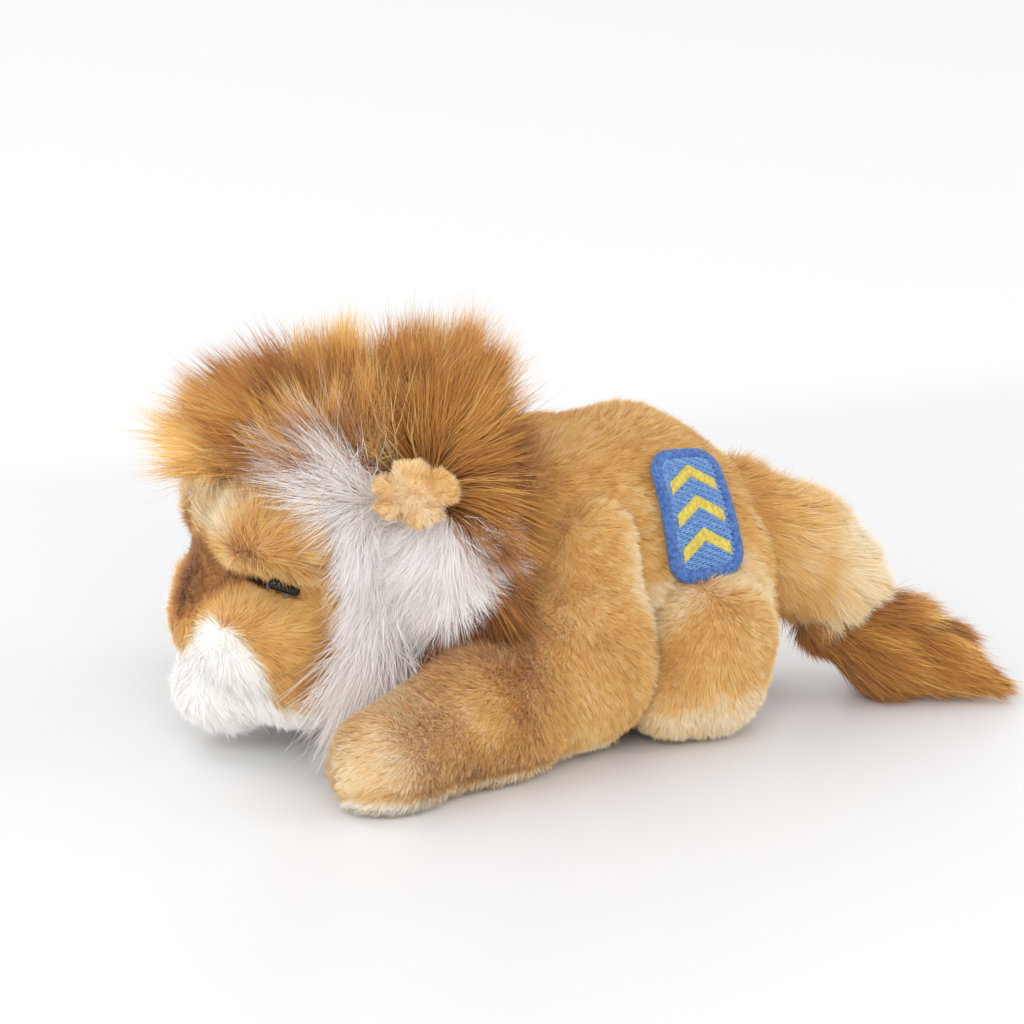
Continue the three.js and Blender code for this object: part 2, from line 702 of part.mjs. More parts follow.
// The patch on the left hip: a rounded plate that follows the torso.
const patchOutline = new THREE.Shape();
const [pw, ph, pr] = [patchWidth / 2, patchHeight / 2, patchCorner];
patchOutline.absarc(pw - pr, ph - pr, pr, 0, Math.PI / 2, false);
patchOutline.absarc(pr - pw, ph - pr, pr, Math.PI / 2, Math.PI, false);
patchOutline.absarc(pr - pw, pr - ph, pr, Math.PI, Math.PI * 1.5, false);
patchOutline.absarc(pw - pr, pr - ph, pr, Math.PI * 1.5, Math.PI * 2, false);
const patchPrism = new THREE.ExtrudeGeometry(patchOutline, {
  depth: torsoWidth, bevelEnabled: false, curveSegments: domeSteps * 2,
});
patchPrism.rotateX(Math.PI / 2).rotateY(radians(patchTilt));
patchPrism.translate(-chestReach + patchSet, 0, patchRise);
const patch = solidOf(patchPrism)
  .intersect(torsoForm(seamGap + patchThickness))
  .subtract(torsoForm(seamGap))
  .subtract(shoulderPillar(motionGap))
  .subtract(haunchPillar(motionGap));

const lion = new THREE.Group();
function place(name, solid, color, roughness) {
  const mesh = new THREE.Mesh(geometryOf(solid), plush(color, roughness));
  mesh.name = name;
  lion.add(mesh);
}
const colours = {
  coat: 0xd6a965,
  cream: 0xe9d6ac,
  bridge: 0xbd8a55,
  white: 0xf3f1ef,
  mane: 0xa9652b,
  ruff: 0xd9d0cc,
  stuffing: 0xf4f4f2,
  eye: 0x0a0806,
  washer: 0x2a2a2a,
  patch: 0x2d5fae,
};
place("torso_skin", torsoSkin, colours.coat);
place("torso_stuffing", torsoStuffing, colours.stuffing, 1);
place("head_skin", headSkin.subtract(eyesRoom), colours.coat);
place("nose_bridge", bridge, colours.bridge);
place("chin", chin, colours.white);
place("head_stuffing", largest(headStuffing.subtract(eyesRoom)), colours.stuffing, 1);
place("mane", mane, colours.mane);
place("tail_skin", tailSkin, colours.coat);
place("tail_stuffing", tailStuffing, colours.stuffing, 1);
place("tail_tuft", tuft, colours.mane);
place("hip_patch", patch, colours.patch, 0.7);
for (const [side, sided] of [["left", (solid) => solid], ["right", mirrored]]) {
  place(`eye_${side}`, sided(eye), colours.eye, 0.15);
  place(`eye_washer_${side}`, sided(washer), colours.washer, 0.5);
  place(`ear_${side}`, sided(ear), colours.coat);
  place(`ear_lining_${side}`, sided(earLining), colours.cream);
  place(`ruff_${side}`, sided(ruff), colours.ruff);
  place(`foreleg_skin_${side}`, sided(forelegSkin), colours.coat);
  place(`foreleg_sole_${side}`, sided(forelegSole), colours.cream);
  place(`foreleg_stuffing_${side}`, sided(forelegStuffing), colours.stuffing, 1);
  place(`hind_leg_skin_${side}`, sided(hindLegSkin), colours.coat);
  place(`hind_leg_stuffing_${side}`, sided(hindLegStuffing), colours.stuffing, 1);
}

export default lion;
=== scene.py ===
import bpy
import math
import numpy as np
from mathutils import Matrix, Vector


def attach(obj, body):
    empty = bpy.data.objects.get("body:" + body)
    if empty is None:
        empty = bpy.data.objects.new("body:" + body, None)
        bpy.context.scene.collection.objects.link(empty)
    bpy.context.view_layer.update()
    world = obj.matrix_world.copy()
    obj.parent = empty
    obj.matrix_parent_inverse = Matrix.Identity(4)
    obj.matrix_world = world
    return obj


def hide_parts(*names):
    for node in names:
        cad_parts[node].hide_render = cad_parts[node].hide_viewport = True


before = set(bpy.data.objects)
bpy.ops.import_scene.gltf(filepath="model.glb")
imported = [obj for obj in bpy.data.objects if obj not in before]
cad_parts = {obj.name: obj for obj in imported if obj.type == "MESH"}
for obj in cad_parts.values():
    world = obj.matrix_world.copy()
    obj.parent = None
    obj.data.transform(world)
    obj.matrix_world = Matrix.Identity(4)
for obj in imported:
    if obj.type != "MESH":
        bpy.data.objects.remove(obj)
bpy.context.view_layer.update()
scene = bpy.context.scene
MM = 0.001

# The toy is worked out in millimetres. It faces -X, and its left side faces -Y.
PILE = 5.5  # how far short pile stands off its backing
FLOOR = 0.4  # how high pile that is pressed flat lies above the floor
SOLE_HEIGHT = 1.5  # how high the backing that rests on its pile lies above the floor
SOLE_SOFTNESS = 5  # over what width a form turns into its flat underside


# The camera stands far off, at the photograph's viewing angle

CAMERA_AIM = Vector((-6.4, 25.2, 72.7)) * MM
CAMERA_TURN, CAMERA_RISE = math.radians(-17), math.radians(17)
CAMERA_FAR = 6  # metres
CAMERA_LENS = 562.5  # the focal length in millimetres
CAMERA_REACH = 50  # metres


def placed(name, data):
    """A new object at the origin, linked into the scene."""
    thing = bpy.data.objects.new(name, data)
    scene.collection.objects.link(thing)
    return thing


def make_camera():
    level = math.cos(CAMERA_RISE)
    back = Vector((math.sin(CAMERA_TURN) * level, -math.cos(CAMERA_TURN) * level, math.sin(CAMERA_RISE)))
    camera = placed("camera", bpy.data.cameras.new("camera"))
    camera.data.lens = CAMERA_LENS
    camera.data.clip_end = CAMERA_REACH
    camera.location = CAMERA_AIM + back * CAMERA_FAR
    camera.rotation_mode = "QUATERNION"
    camera.rotation_quaternion = (-back).to_track_quat("-Z", "Y")
    scene.camera = camera


# Stuffed forms, as distances outside them

def smooth(x):
    x = np.clip(x, 0, 1)
    return x * x * (3 - 2 * x)


def swell(p, at, radius, spin=0.0):
    """About how far the places p lie outside an ellipsoid, turned by spin degrees about the vertical."""
    q = p - np.array(at, float)
    c, s = math.cos(math.radians(spin)), math.sin(math.radians(spin))
    q = q @ np.array([[c, -s, 0], [s, c, 0], [0, 0, 1]])
    r = np.array(radius, float)
    stretch = np.linalg.norm(q / r, axis=1)
    steep = np.linalg.norm(q / r**2, axis=1)
    return stretch * (stretch - 1) / np.maximum(steep, 1e-9)


def roll(p, start, end, first, last):
    """How far the places p lie outside a round roll between two places."""
    a, b = np.array(start, float), np.array(end, float)
    share = np.clip((p - a) @ (b - a) / ((b - a) @ (b - a)), 0, 1)
    return np.linalg.norm(p - a - share[:, None] * (b - a), axis=1) - (first + (last - first) * share)


def melt(a, b, width):
    """Two forms as one, run softly into each other."""
    share = np.clip(0.5 + 0.5 * (b - a) / width, 0, 1)
    return b * (1 - share) + a * share - width * share * (1 - share)


def carve(a, b, width):
    """The first form with the second pressed into it."""
    return -melt(-a, b, width)


def left_half(p):
    """The places folded onto the left side."""
    return np.column_stack([p[:, 0], -np.abs(p[:, 1]), p[:, 2]])


def torso_form(p):
    d = swell(p, (-4, 0, 58), (34, 44, 58))
    d = melt(d, swell(left_half(p), (0, -22, 76), (28, 22, 36)), 14)
    d = melt(d, swell(p, (28, 0, 60), (47, 46, 61)), 16)
    return melt(d, swell(p, (56, 0, 47), (35, 43, 51)), 16)


def head_form(p):
    q = left_half(p)
    d = swell(p, (-92, 0, 86), (44, 45, 43))
    d = melt(d, swell(p, (-84, 0, 50), (38, 43, 47)), 16)
    d = melt(d, swell(p, (-51, 0, 81), (33, 52, 46)), 14)
    d = melt(d, swell(q, (-40, -38, 58), (19, 20, 26)), 12)
    d = melt(d, swell(q, (-111, -22, 87), (27, 25, 22)), 8)
    d = melt(d, swell(p, (-120, 0, 46), (28, 36, 31)), 12)
    d = melt(d, swell(q, (-117, -23, 48.5), (27, 25, 26)), 6)
    d = melt(d, roll(p, (-123, 0, 84), (-137, 0, 52), 16, 13), 8)
    d = melt(d, swell(p, (-125, 0, 23), (24, 27, 20)), 8)
    d = melt(d, swell(q, (-103, -21, 27), (25, 21, 19)), 8)
    return carve(d, roll(q, (-140, -26, 72), (-100, -52, 69), 1.5, 4), 6)


def foreleg_form(p):
    q = left_half(p)
    d = swell(q, (-6, -40, 34), (31, 29, 35))
    d = melt(d, roll(q, (1, -40, 34), (5, -33, 78), 30, 22), 12)
    d = melt(d, roll(q, (-7, -41, 32), (-44, -64, 23), 31, 28), 14)
    d = melt(d, roll(q, (-44, -64, 23), (-87, -85, 17), 28, 24), 10)
    d = melt(d, swell(q, (-89, -89, 14), (25, 23, 23), 25), 6)
    return d + 1.8 * np.exp(-((q[:, 2] - 10) / 1.6) ** 2) * smooth((-q[:, 0] - 4) / 20)


def hind_leg_form(p):
    q = left_half(p)
    d = swell(q, (51, -36, 36), (29, 28, 33))
    return melt(d, roll(q, (48, -41, 19), (34, -45, 18), 21, 19), 12)


def tail_form(p):
    q = p * np.array([1, 1.15, 1])
    d = roll(q, (70, 0, 70), (96, 0, 56), 25, 25)
    d = melt(d, roll(q, (96, 0, 56), (112, -3, 43), 25, 20), 8)
    return melt(d, roll(q, (112, -3, 43), (121, -6, 33), 20, 15), 8)


def tuft_form(p):
    d = roll(p, (108, -2, 27), (126, -9, 20), 11, 16)
    d = melt(d, roll(p, (126, -9, 20), (140, -17, 17), 16, 13), 6)
    return melt(d, roll(p, (140, -17, 17), (154, -26, 10), 13, 5), 6)


EAR_AT = (-70, -59, 110)
EAR_FOLDS = (-118, -30, 52, 140, 185)  # degrees about the ear's middle


def upright_ways(facing):
    """A facing at length 1, the level way across it, and the way up it."""
    facing = np.array(facing) / np.linalg.norm(facing)
    across = np.cross([0, 0, 1], facing)
    across /= np.linalg.norm(across)
    return facing, across, np.cross(facing, across)


def ear_form(p):
    """The left ear: four lobes gathered on a stem."""
    facing, across, over = upright_ways((-0.12, -0.86, 0.5))
    q = left_half(p) - np.array(EAR_AT)
    q = np.column_stack([q @ across, q @ over, q @ facing])
    d = melt(roll(q, (0, 0, 0), (0, 0, -30), 6, 7), swell(q, (0, 0, 1), (17, 13.5, 7)), 5)
    turn, far = np.arctan2(q[:, 1], q[:, 0]), np.hypot(q[:, 0], q[:, 1])
    for fold in EAR_FOLDS:
        off = (turn - math.radians(fold) + math.pi) % (2 * math.pi) - math.pi
        d = d + 4.4 * np.exp(-(off * far / 1.9) ** 2) * smooth((far - 1) / 9) * (np.abs(off) < 1.5)
    d = carve(d, roll(q, (-14, 10, 8), (-4, 4, 8), 1, 1.5), 2)
    return carve(d, roll(q, (-1, 1, 10), (7, -2, 10), 2.5, 2), 3)


def on_floor(form, inset):
    """A form taken in by the depth of its pile, and pressed flat where it rests on the floor."""
    return lambda p: carve(form(p) + inset, p[:, 2] - SOLE_HEIGHT, SOLE_SOFTNESS)


# Skins

def slope(form, p, step=0.2):
    """The outward direction of a form."""
    n = np.column_stack([form(p + step * axis) - form(p - step * axis) for axis in np.eye(3)])
    return n / np.maximum(np.linalg.norm(n, axis=1, keepdims=True), 1e-9)


def wrap(form, low, high, step):
    """A closed net of quads drawn over a form: one corner in each cell that the form's surface crosses."""
    axes = [np.arange(a, b + step, step) for a, b in zip(low, high)]
    grid = np.stack(np.meshgrid(*axes, indexing="ij"), -1)
    d = form(grid.reshape(-1, 3)).reshape(grid.shape[:3])
    cells = tuple(n - 1 for n in d.shape)
    total, count = np.zeros(cells + (3,)), np.zeros(cells)
    for axis in range(3):
        others = [a for a in range(3) if a != axis]
        for i in (0, 1):
            for j in (0, 1):
                start = [slice(0, n) for n in cells]
                start[others[0]] = slice(i, cells[others[0]] + i)
                start[others[1]] = slice(j, cells[others[1]] + j)
                end = list(start)
                end[axis] = slice(1, cells[axis] + 1)
                a, b = d[tuple(start)], d[tuple(end)]
                crossed = (a < 0) != (b < 0)
                share = np.where(crossed, a / np.where(crossed, a - b, 1), 0)
                place = grid[tuple(start)].copy()
                place[..., axis] += share * step
                total += place * crossed[..., None]
                count += crossed
    index = -np.ones(cells, int)
    used = count > 0
    index[used] = np.arange(used.sum())
    p = total[used] / count[used][:, None]
    quads = []
    for axis in range(3):
        u, v = (axis + 1) % 3, (axis + 2) % 3
        inner = [slice(1, n - 1) for n in d.shape]
        inner[axis] = slice(0, d.shape[axis] - 1)
        ahead = list(inner)
        ahead[axis] = slice(1, d.shape[axis])
        a, b = d[tuple(inner)] < 0, d[tuple(ahead)] < 0
        spots = np.argwhere(a != b)
        leaving = a[tuple(spots.T)]
        spots = spots + [0 if k == axis else 1 for k in range(3)]
        ring = []
        for du, dv in ((1, 1), (0, 1), (0, 0), (1, 0)):
            cell = spots.copy()
            cell[:, u] -= du
            cell[:, v] -= dv
            ring.append(index[tuple(cell.T)])
        quad = np.column_stack(ring)
        quad[~leaving] = quad[~leaving][:, ::-1]
        quads.append(quad)
    for _ in range(4):
        p = p - form(p)[:, None] * slope(form, p)
    return p, np.vstack(quads)


def mesh_of(name, p, faces):
    mesh = bpy.data.meshes.new(name)
    mesh.from_pydata((p * MM).tolist(), [], faces.tolist())
    mesh.update()
    mesh.shade_smooth()
    return mesh


def piece_of(name, mesh, body, material):
    piece = placed(name, mesh)
    mesh.materials.clear()
    mesh.materials.append(material)
    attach(piece, body)
    return piece


def note(mesh, name, values):
    """Keeps a number or a direction for each corner of a mesh."""
    kind = "FLOAT_VECTOR" if values.ndim == 2 else "FLOAT"
    attribute = mesh.attributes.get(name) or mesh.attributes.new(name, kind, "POINT")
    attribute.data.foreach_set("vector" if values.ndim == 2 else "value", values.astype(np.float32).ravel())


def read_corners(skin, what):
    values = np.zeros(len(skin.data.vertices) * 3, np.float32)
    skin.data.vertices.foreach_get(what, values)
    return values.reshape(-1, 3).astype(float)


def corners_of(skin):
    """Where each corner of a skin lies, and the way it faces."""
    return read_corners(skin, "co") / MM, read_corners(skin, "normal")


# Where colours and hair lie

# The side of the head is marked out on a board that leans back and faces the camera.
BOARD_ALONG = np.array([0.956, -0.292, 0])
BOARD_UP = np.array([0.0855, 0.2796, 0.956])


def side_view(p):
    """Places on the side of the head: how far along the board, and how far up."""
    q = left_half(p)
    return np.column_stack([q @ BOARD_ALONG, q @ BOARD_UP])


def within(place, outline, soft):
    """1 inside an outline and 0 outside, with a soft edge."""
    a = np.array(outline, float)
    b = np.roll(a, -1, 0)
    away = place[:, None] - a
    share = np.clip((away * (b - a)).sum(-1) / ((b - a) ** 2).sum(-1), 0, 1)
    gap = np.linalg.norm(away - share[..., None] * (b - a), axis=-1).min(1)
    x, y = place[:, :1], place[:, 1:]
    rise = np.where(b[:, 1] == a[:, 1], 1, b[:, 1] - a[:, 1])
    crossed = ((a[:, 1] > y) != (b[:, 1] > y)) & (x < (b[:, 0] - a[:, 0]) * (y - a[:, 1]) / rise + a[:, 0])
    inside = crossed.sum(1) % 2 == 1
    return smooth(0.5 + np.where(inside, gap, -gap) / (2 * soft))


FACE = [(-168, 89), (-125, 89), (-97, 89), (-76, 84), (-69, 69), (-68, 51), (-68, 36), (-66, 21), (-61, 9),
        (-66, -32), (-168, -32)]
RUFF = [(-80, 92), (-63, 92), (-57, 80), (-50, 77), (-32, 76), (-24, 71), (-26, 60), (-32, 48), (-40, 37),
        (-48, 28), (-57, 19), (-62, 12), (-66, 21), (-68, 36), (-68, 51), (-70, 69), (-78, 81)]
CHIN = [(-168, 25), (-136, 28), (-130, 33), (-124, 36), (-116, 32), (-111, 26), (-107, 18), (-102, 7),
        (-93, 5), (-78, 6), (-76, -32), (-168, -32)]
BRIDGE = [(-168, 66), (-130, 66), (-114, 60), (-107, 53), (-115, 43), (-125, 36), (-136, 28), (-168, 25)]
FOREHEAD = [(-168, 96), (-128, 96), (-118, 84), (-113, 74), (-113, 62), (-130, 66), (-168, 66)]
BROW = [(-125, 86), (-84, 84), (-86, 62), (-95, 46), (-107, 52), (-115, 64), (-120, 76)]


EAR_STEM = (-52, 80)  # where the ear leaves the side of the head
MANE_MIDDLE = (-46, 82)  # where the mane's pile fans out from
LID_START, LID_END = np.array([-111.0, 53.0]), np.array([-94.0, 45.0])

PATCH_AT = np.array([46.5, -37.0, 86.0])
PATCH_LEAN = math.radians(4)
PATCH_HALF = np.array([15.0, 23.5])  # half its width and half its height
PATCH_CORNER = 8.5


def lay_patch():
    """The way across the patch, the way up it, and the way it faces."""
    facing, level, over = upright_ways((0.08, -0.78, 0.62))
    c, s = math.cos(PATCH_LEAN), math.sin(PATCH_LEAN)
    return np.array([level * c + over * s, over * c - level * s, facing])


PATCH_WAYS = lay_patch()


def ripple(p, size, seed):
    """Soft uneven values from about -1 to 1 that change over about the given size."""
    dice = np.random.default_rng(seed)
    total = np.zeros(len(p))
    for _ in range(7):
        wave = dice.normal(size=3)
        wave *= 2 * math.pi / (size * dice.uniform(1.2, 2.6) * np.linalg.norm(wave))
        total += np.sin(p @ wave + dice.uniform(0, 6.28))
    return total / 3.0


def flat_on(normal, direction):
    """A direction laid onto the surface, at length 1."""
    d = direction - (direction * normal).sum(1, keepdims=True) * normal
    return d / np.maximum(np.linalg.norm(d, axis=1, keepdims=True), 1e-6)


def laid(normal, way, side):
    """A way on the side of the head, along and up, laid onto the surface."""
    direction = BOARD_ALONG * way[:, :1] + BOARD_UP * way[:, 1:]
    direction[:, 1] *= -side
    return flat_on(normal, direction)


def outward(seen, centre):
    """The way on the board from a centre out to each place."""
    away = seen - np.array(centre, float)
    return away / np.maximum(np.linalg.norm(away, axis=1, keepdims=True), 1)


# Materials

def paint(red, green, blue):
    """A colour as it is read off a screen, from 0 to 255."""
    share = [c / 255 for c in (red, green, blue)]
    return tuple(c / 12.92 if c <= 0.04045 else ((c + 0.055) / 1.055) ** 2.4 for c in share) + (1.0,)


def feed(tree, node, inputs):
    """Sets a node's inputs, or links them where a value comes out of another node."""
    for key, value in inputs.items():
        if isinstance(value, bpy.types.NodeSocket):
            tree.links.new(value, node.inputs[key])
        else:
            node.inputs[key].default_value = value


def add(tree, kind, inputs=None, **settings):
    node = tree.nodes.new(kind)
    for name, value in settings.items():
        setattr(node, name, value)
    feed(tree, node, inputs or {})
    return node


def made(tree, kind, inputs=None, **settings):
    """What comes out of a new node first."""
    return add(tree, kind, inputs, **settings).outputs[0]


def number(tree, operation, *values):
    return made(tree, "ShaderNodeMath", dict(enumerate(values)), operation=operation)


def arrow(tree, operation, *values, scale=None):
    inputs = dict(enumerate(values))
    if scale is not None:
        inputs["Scale"] = scale
    node = add(tree, "ShaderNodeVectorMath", inputs, operation=operation)
    return node.outputs[1 if operation in ("LENGTH", "DOT_PRODUCT", "DISTANCE") else 0]


def ramp(tree, value, stops):
    node = add(tree, "ShaderNodeValToRGB", {0: value})
    elements = node.color_ramp.elements
    while len(elements) < len(stops):
        elements.new(0.5)
    for element, (place, color) in zip(elements, stops):
        element.position = place
        element.color = color
    return node.outputs[0]


def grey(value):
    return (value, value, value, 1)


def bare_material(name):
    material = bpy.data.materials.new(name)
    material.use_nodes = True
    return material, material.node_tree, material.node_tree.nodes["Principled BSDF"]


def new_tree(name, kind, inputs, output):
    """A node tree with named inputs and a named output, and the sockets that its inputs come in by."""
    tree = bpy.data.node_groups.new(name, kind)
    for label, socket in inputs:
        tree.interface.new_socket(label, in_out="INPUT", socket_type="NodeSocket" + socket)
    tree.interface.new_socket(output[0], in_out="OUTPUT", socket_type="NodeSocket" + output[1])
    return tree, tree.nodes.new("NodeGroupInput").outputs


def make_depth_group():
    """Pile is dark and warm down at its root, where little light comes, and paler at its tip."""
    group, given = new_tree("Pile Depth", "ShaderNodeTree", [
        ("Tone", "Color"), ("Along", "Float"), ("Root", "Color"), ("Tip", "Color")], ("Color", "Color"))
    depth = ramp(group, given["Along"], [(0, grey(0)), (0.55, grey(0.8)), (1, grey(1))])
    shade = add(group, "ShaderNodeMix", {0: depth, 6: given["Root"], 7: given["Tip"]}, data_type="RGBA")
    color = add(group, "ShaderNodeMix", {0: 1.0, 6: given["Tone"], 7: shade.outputs[2]}, data_type="RGBA",
                blend_type="MULTIPLY")
    out = group.nodes.new("NodeGroupOutput")
    group.links.new(color.outputs[2], out.inputs[0])
    return group


def pile_material(name, tones, root, tip, roughness, sheen):
    """Strands: u is the strand's own tone, and v runs from its root to its tip."""
    material, tree, shader = bare_material(name)
    place = add(tree, "ShaderNodeSeparateXYZ", {0: made(tree, "ShaderNodeUVMap", uv_map="OFBake")})
    depth = add(tree, "ShaderNodeGroup", {
        "Tone": ramp(tree, place.outputs[0], tones), "Along": place.outputs[1], "Root": root, "Tip": tip,
    }, node_tree=depth_group)
    feed(tree, shader, {"Base Color": depth.outputs[0], "Roughness": roughness, "Sheen Weight": sheen,
                        "Sheen Roughness": 0.5, "Specular IOR Level": 0.15})
    return material


def backing_material(name, tones, depth):
    """The knitted backing under the pile, in the pile's own tones but darker, as painted shade where it shows
    between the strands.
    """
    material, tree, shader = bare_material(name)
    tone = add(tree, "ShaderNodeAttribute", attribute_name="tone").outputs["Fac"]
    place = add(tree, "ShaderNodeTexCoord").outputs["Object"]
    knit = add(tree, "ShaderNodeTexNoise", {"Vector": place, "Scale": 900.0, "Detail": 3.0})
    color = add(tree, "ShaderNodeMix", {0: 1.0, 6: ramp(tree, tone, tones), 7: depth}, data_type="RGBA",
                blend_type="MULTIPLY")
    uneven = ramp(tree, knit.outputs[0], [(0.3, grey(0.88)), (0.7, grey(1))])
    mixed = add(tree, "ShaderNodeMix", {0: 1.0, 6: color.outputs[2], 7: uneven}, data_type="RGBA",
                blend_type="MULTIPLY")
    bump = add(tree, "ShaderNodeBump", {"Height": knit.outputs[0], "Distance": 0.0006, "Strength": 0.6})
    feed(tree, shader, {"Base Color": mixed.outputs[2], "Normal": bump.outputs[0], "Roughness": 0.95,
                        "Specular IOR Level": 0.1})
    return material


# Each range of tones runs from its darkest, at 0, to its palest, at 1.
# The coat's near-black tone at 0 is painted shade, used along the crease of the eye.
COAT_TONES = [(0, paint(40, 26, 18)), (0.07, paint(128, 80, 40)), (0.22, paint(186, 130, 78)),
              (0.42, paint(222, 168, 93)), (0.58, paint(238, 198, 122)), (0.74, paint(248, 228, 186)),
              (0.88, paint(251, 241, 218)), (1, paint(253, 252, 251))]
MANE_TONES = [(0, paint(96, 52, 24)), (0.3, paint(156, 96, 48)), (0.6, paint(206, 146, 76)),
              (0.85, paint(240, 206, 138)), (1, paint(246, 222, 184))]
RUFF_TONES = [(0, paint(160, 134, 118)), (0.4, paint(214, 198, 188)), (0.75, paint(246, 240, 237)),
              (1, paint(253, 251, 250))]

depth_group = make_depth_group()

# The root colours are painted shade: they darken each strand towards its root, most of all in the mane.
coat = pile_material("coat pile", COAT_TONES, paint(248, 234, 218), grey(1.0), 0.9, 0.4)
white_pile = pile_material("white pile", COAT_TONES, paint(253, 252, 251), grey(1.0), 0.9, 0.6)
mane_pile = pile_material("mane hair", MANE_TONES, paint(176, 150, 118), (1.25, 1.34, 1.2, 1), 0.55, 0.3)
ruff_pile = pile_material("ruff hair", RUFF_TONES, paint(250, 246, 243), grey(1.0), 0.6, 0.6)
# The darkening colours of the backings are painted shade, strongest in the mane backing that lies under the
# tail's tuft.
coat_backing = backing_material("coat backing", COAT_TONES, paint(252, 246, 236))
mane_backing = backing_material("mane backing", MANE_TONES, paint(150, 120, 90))


# Strands

HAIR_SIZES = ("Density", "Length", "Shortest", "Width", "Spread", "Locks", "Gather", "Lock Lean", "Droop",
              "Bow", "Roll", "Shade Spread", "Lock Shade", "Softness")


def finish_tree(tree, geometry, material):
    """Gives what a tree has made its material, and sends it out."""
    done = made(tree, "GeometryNodeSetMaterial", {0: geometry, "Material": material})
    tree.links.new(done, tree.nodes.new("NodeGroupOutput").inputs[0])


def worked(tree, carrier, given):
    """The mesh that a tree makes of a carrier object, which is then removed."""
    modifier = carrier.modifiers.new(tree.name, "NODES")
    modifier.node_group = tree
    for item in tree.interface.items_tree:
        if item.item_type == "SOCKET" and item.in_out == "INPUT" and item.name in given:
            value = given[item.name]
            modifier[item.identifier] = float(value) if item.socket_type == "NodeSocketFloat" else value
    bpy.context.view_layer.update()
    graph = bpy.context.evaluated_depsgraph_get()
    mesh = bpy.data.meshes.new_from_object(carrier.evaluated_get(graph), depsgraph=graph)
    bpy.data.objects.remove(carrier)
    return mesh


ROOT_SPACING = 0.6  # the least distance between roots, as a share of what even spacing would give
OVERSOWN = 1.6  # how many roots are sown for each that the spacing leaves
LONGEST = 1.12  # the longest strand's length, where 1 is the usual one
TAME, WILD, WILD_FEW = 0.5, 2.5, 4.0  # most strands keep to their lock, and a few stray far
TIP_BEND = 1.7  # how much of a strand's bend is left for its tip


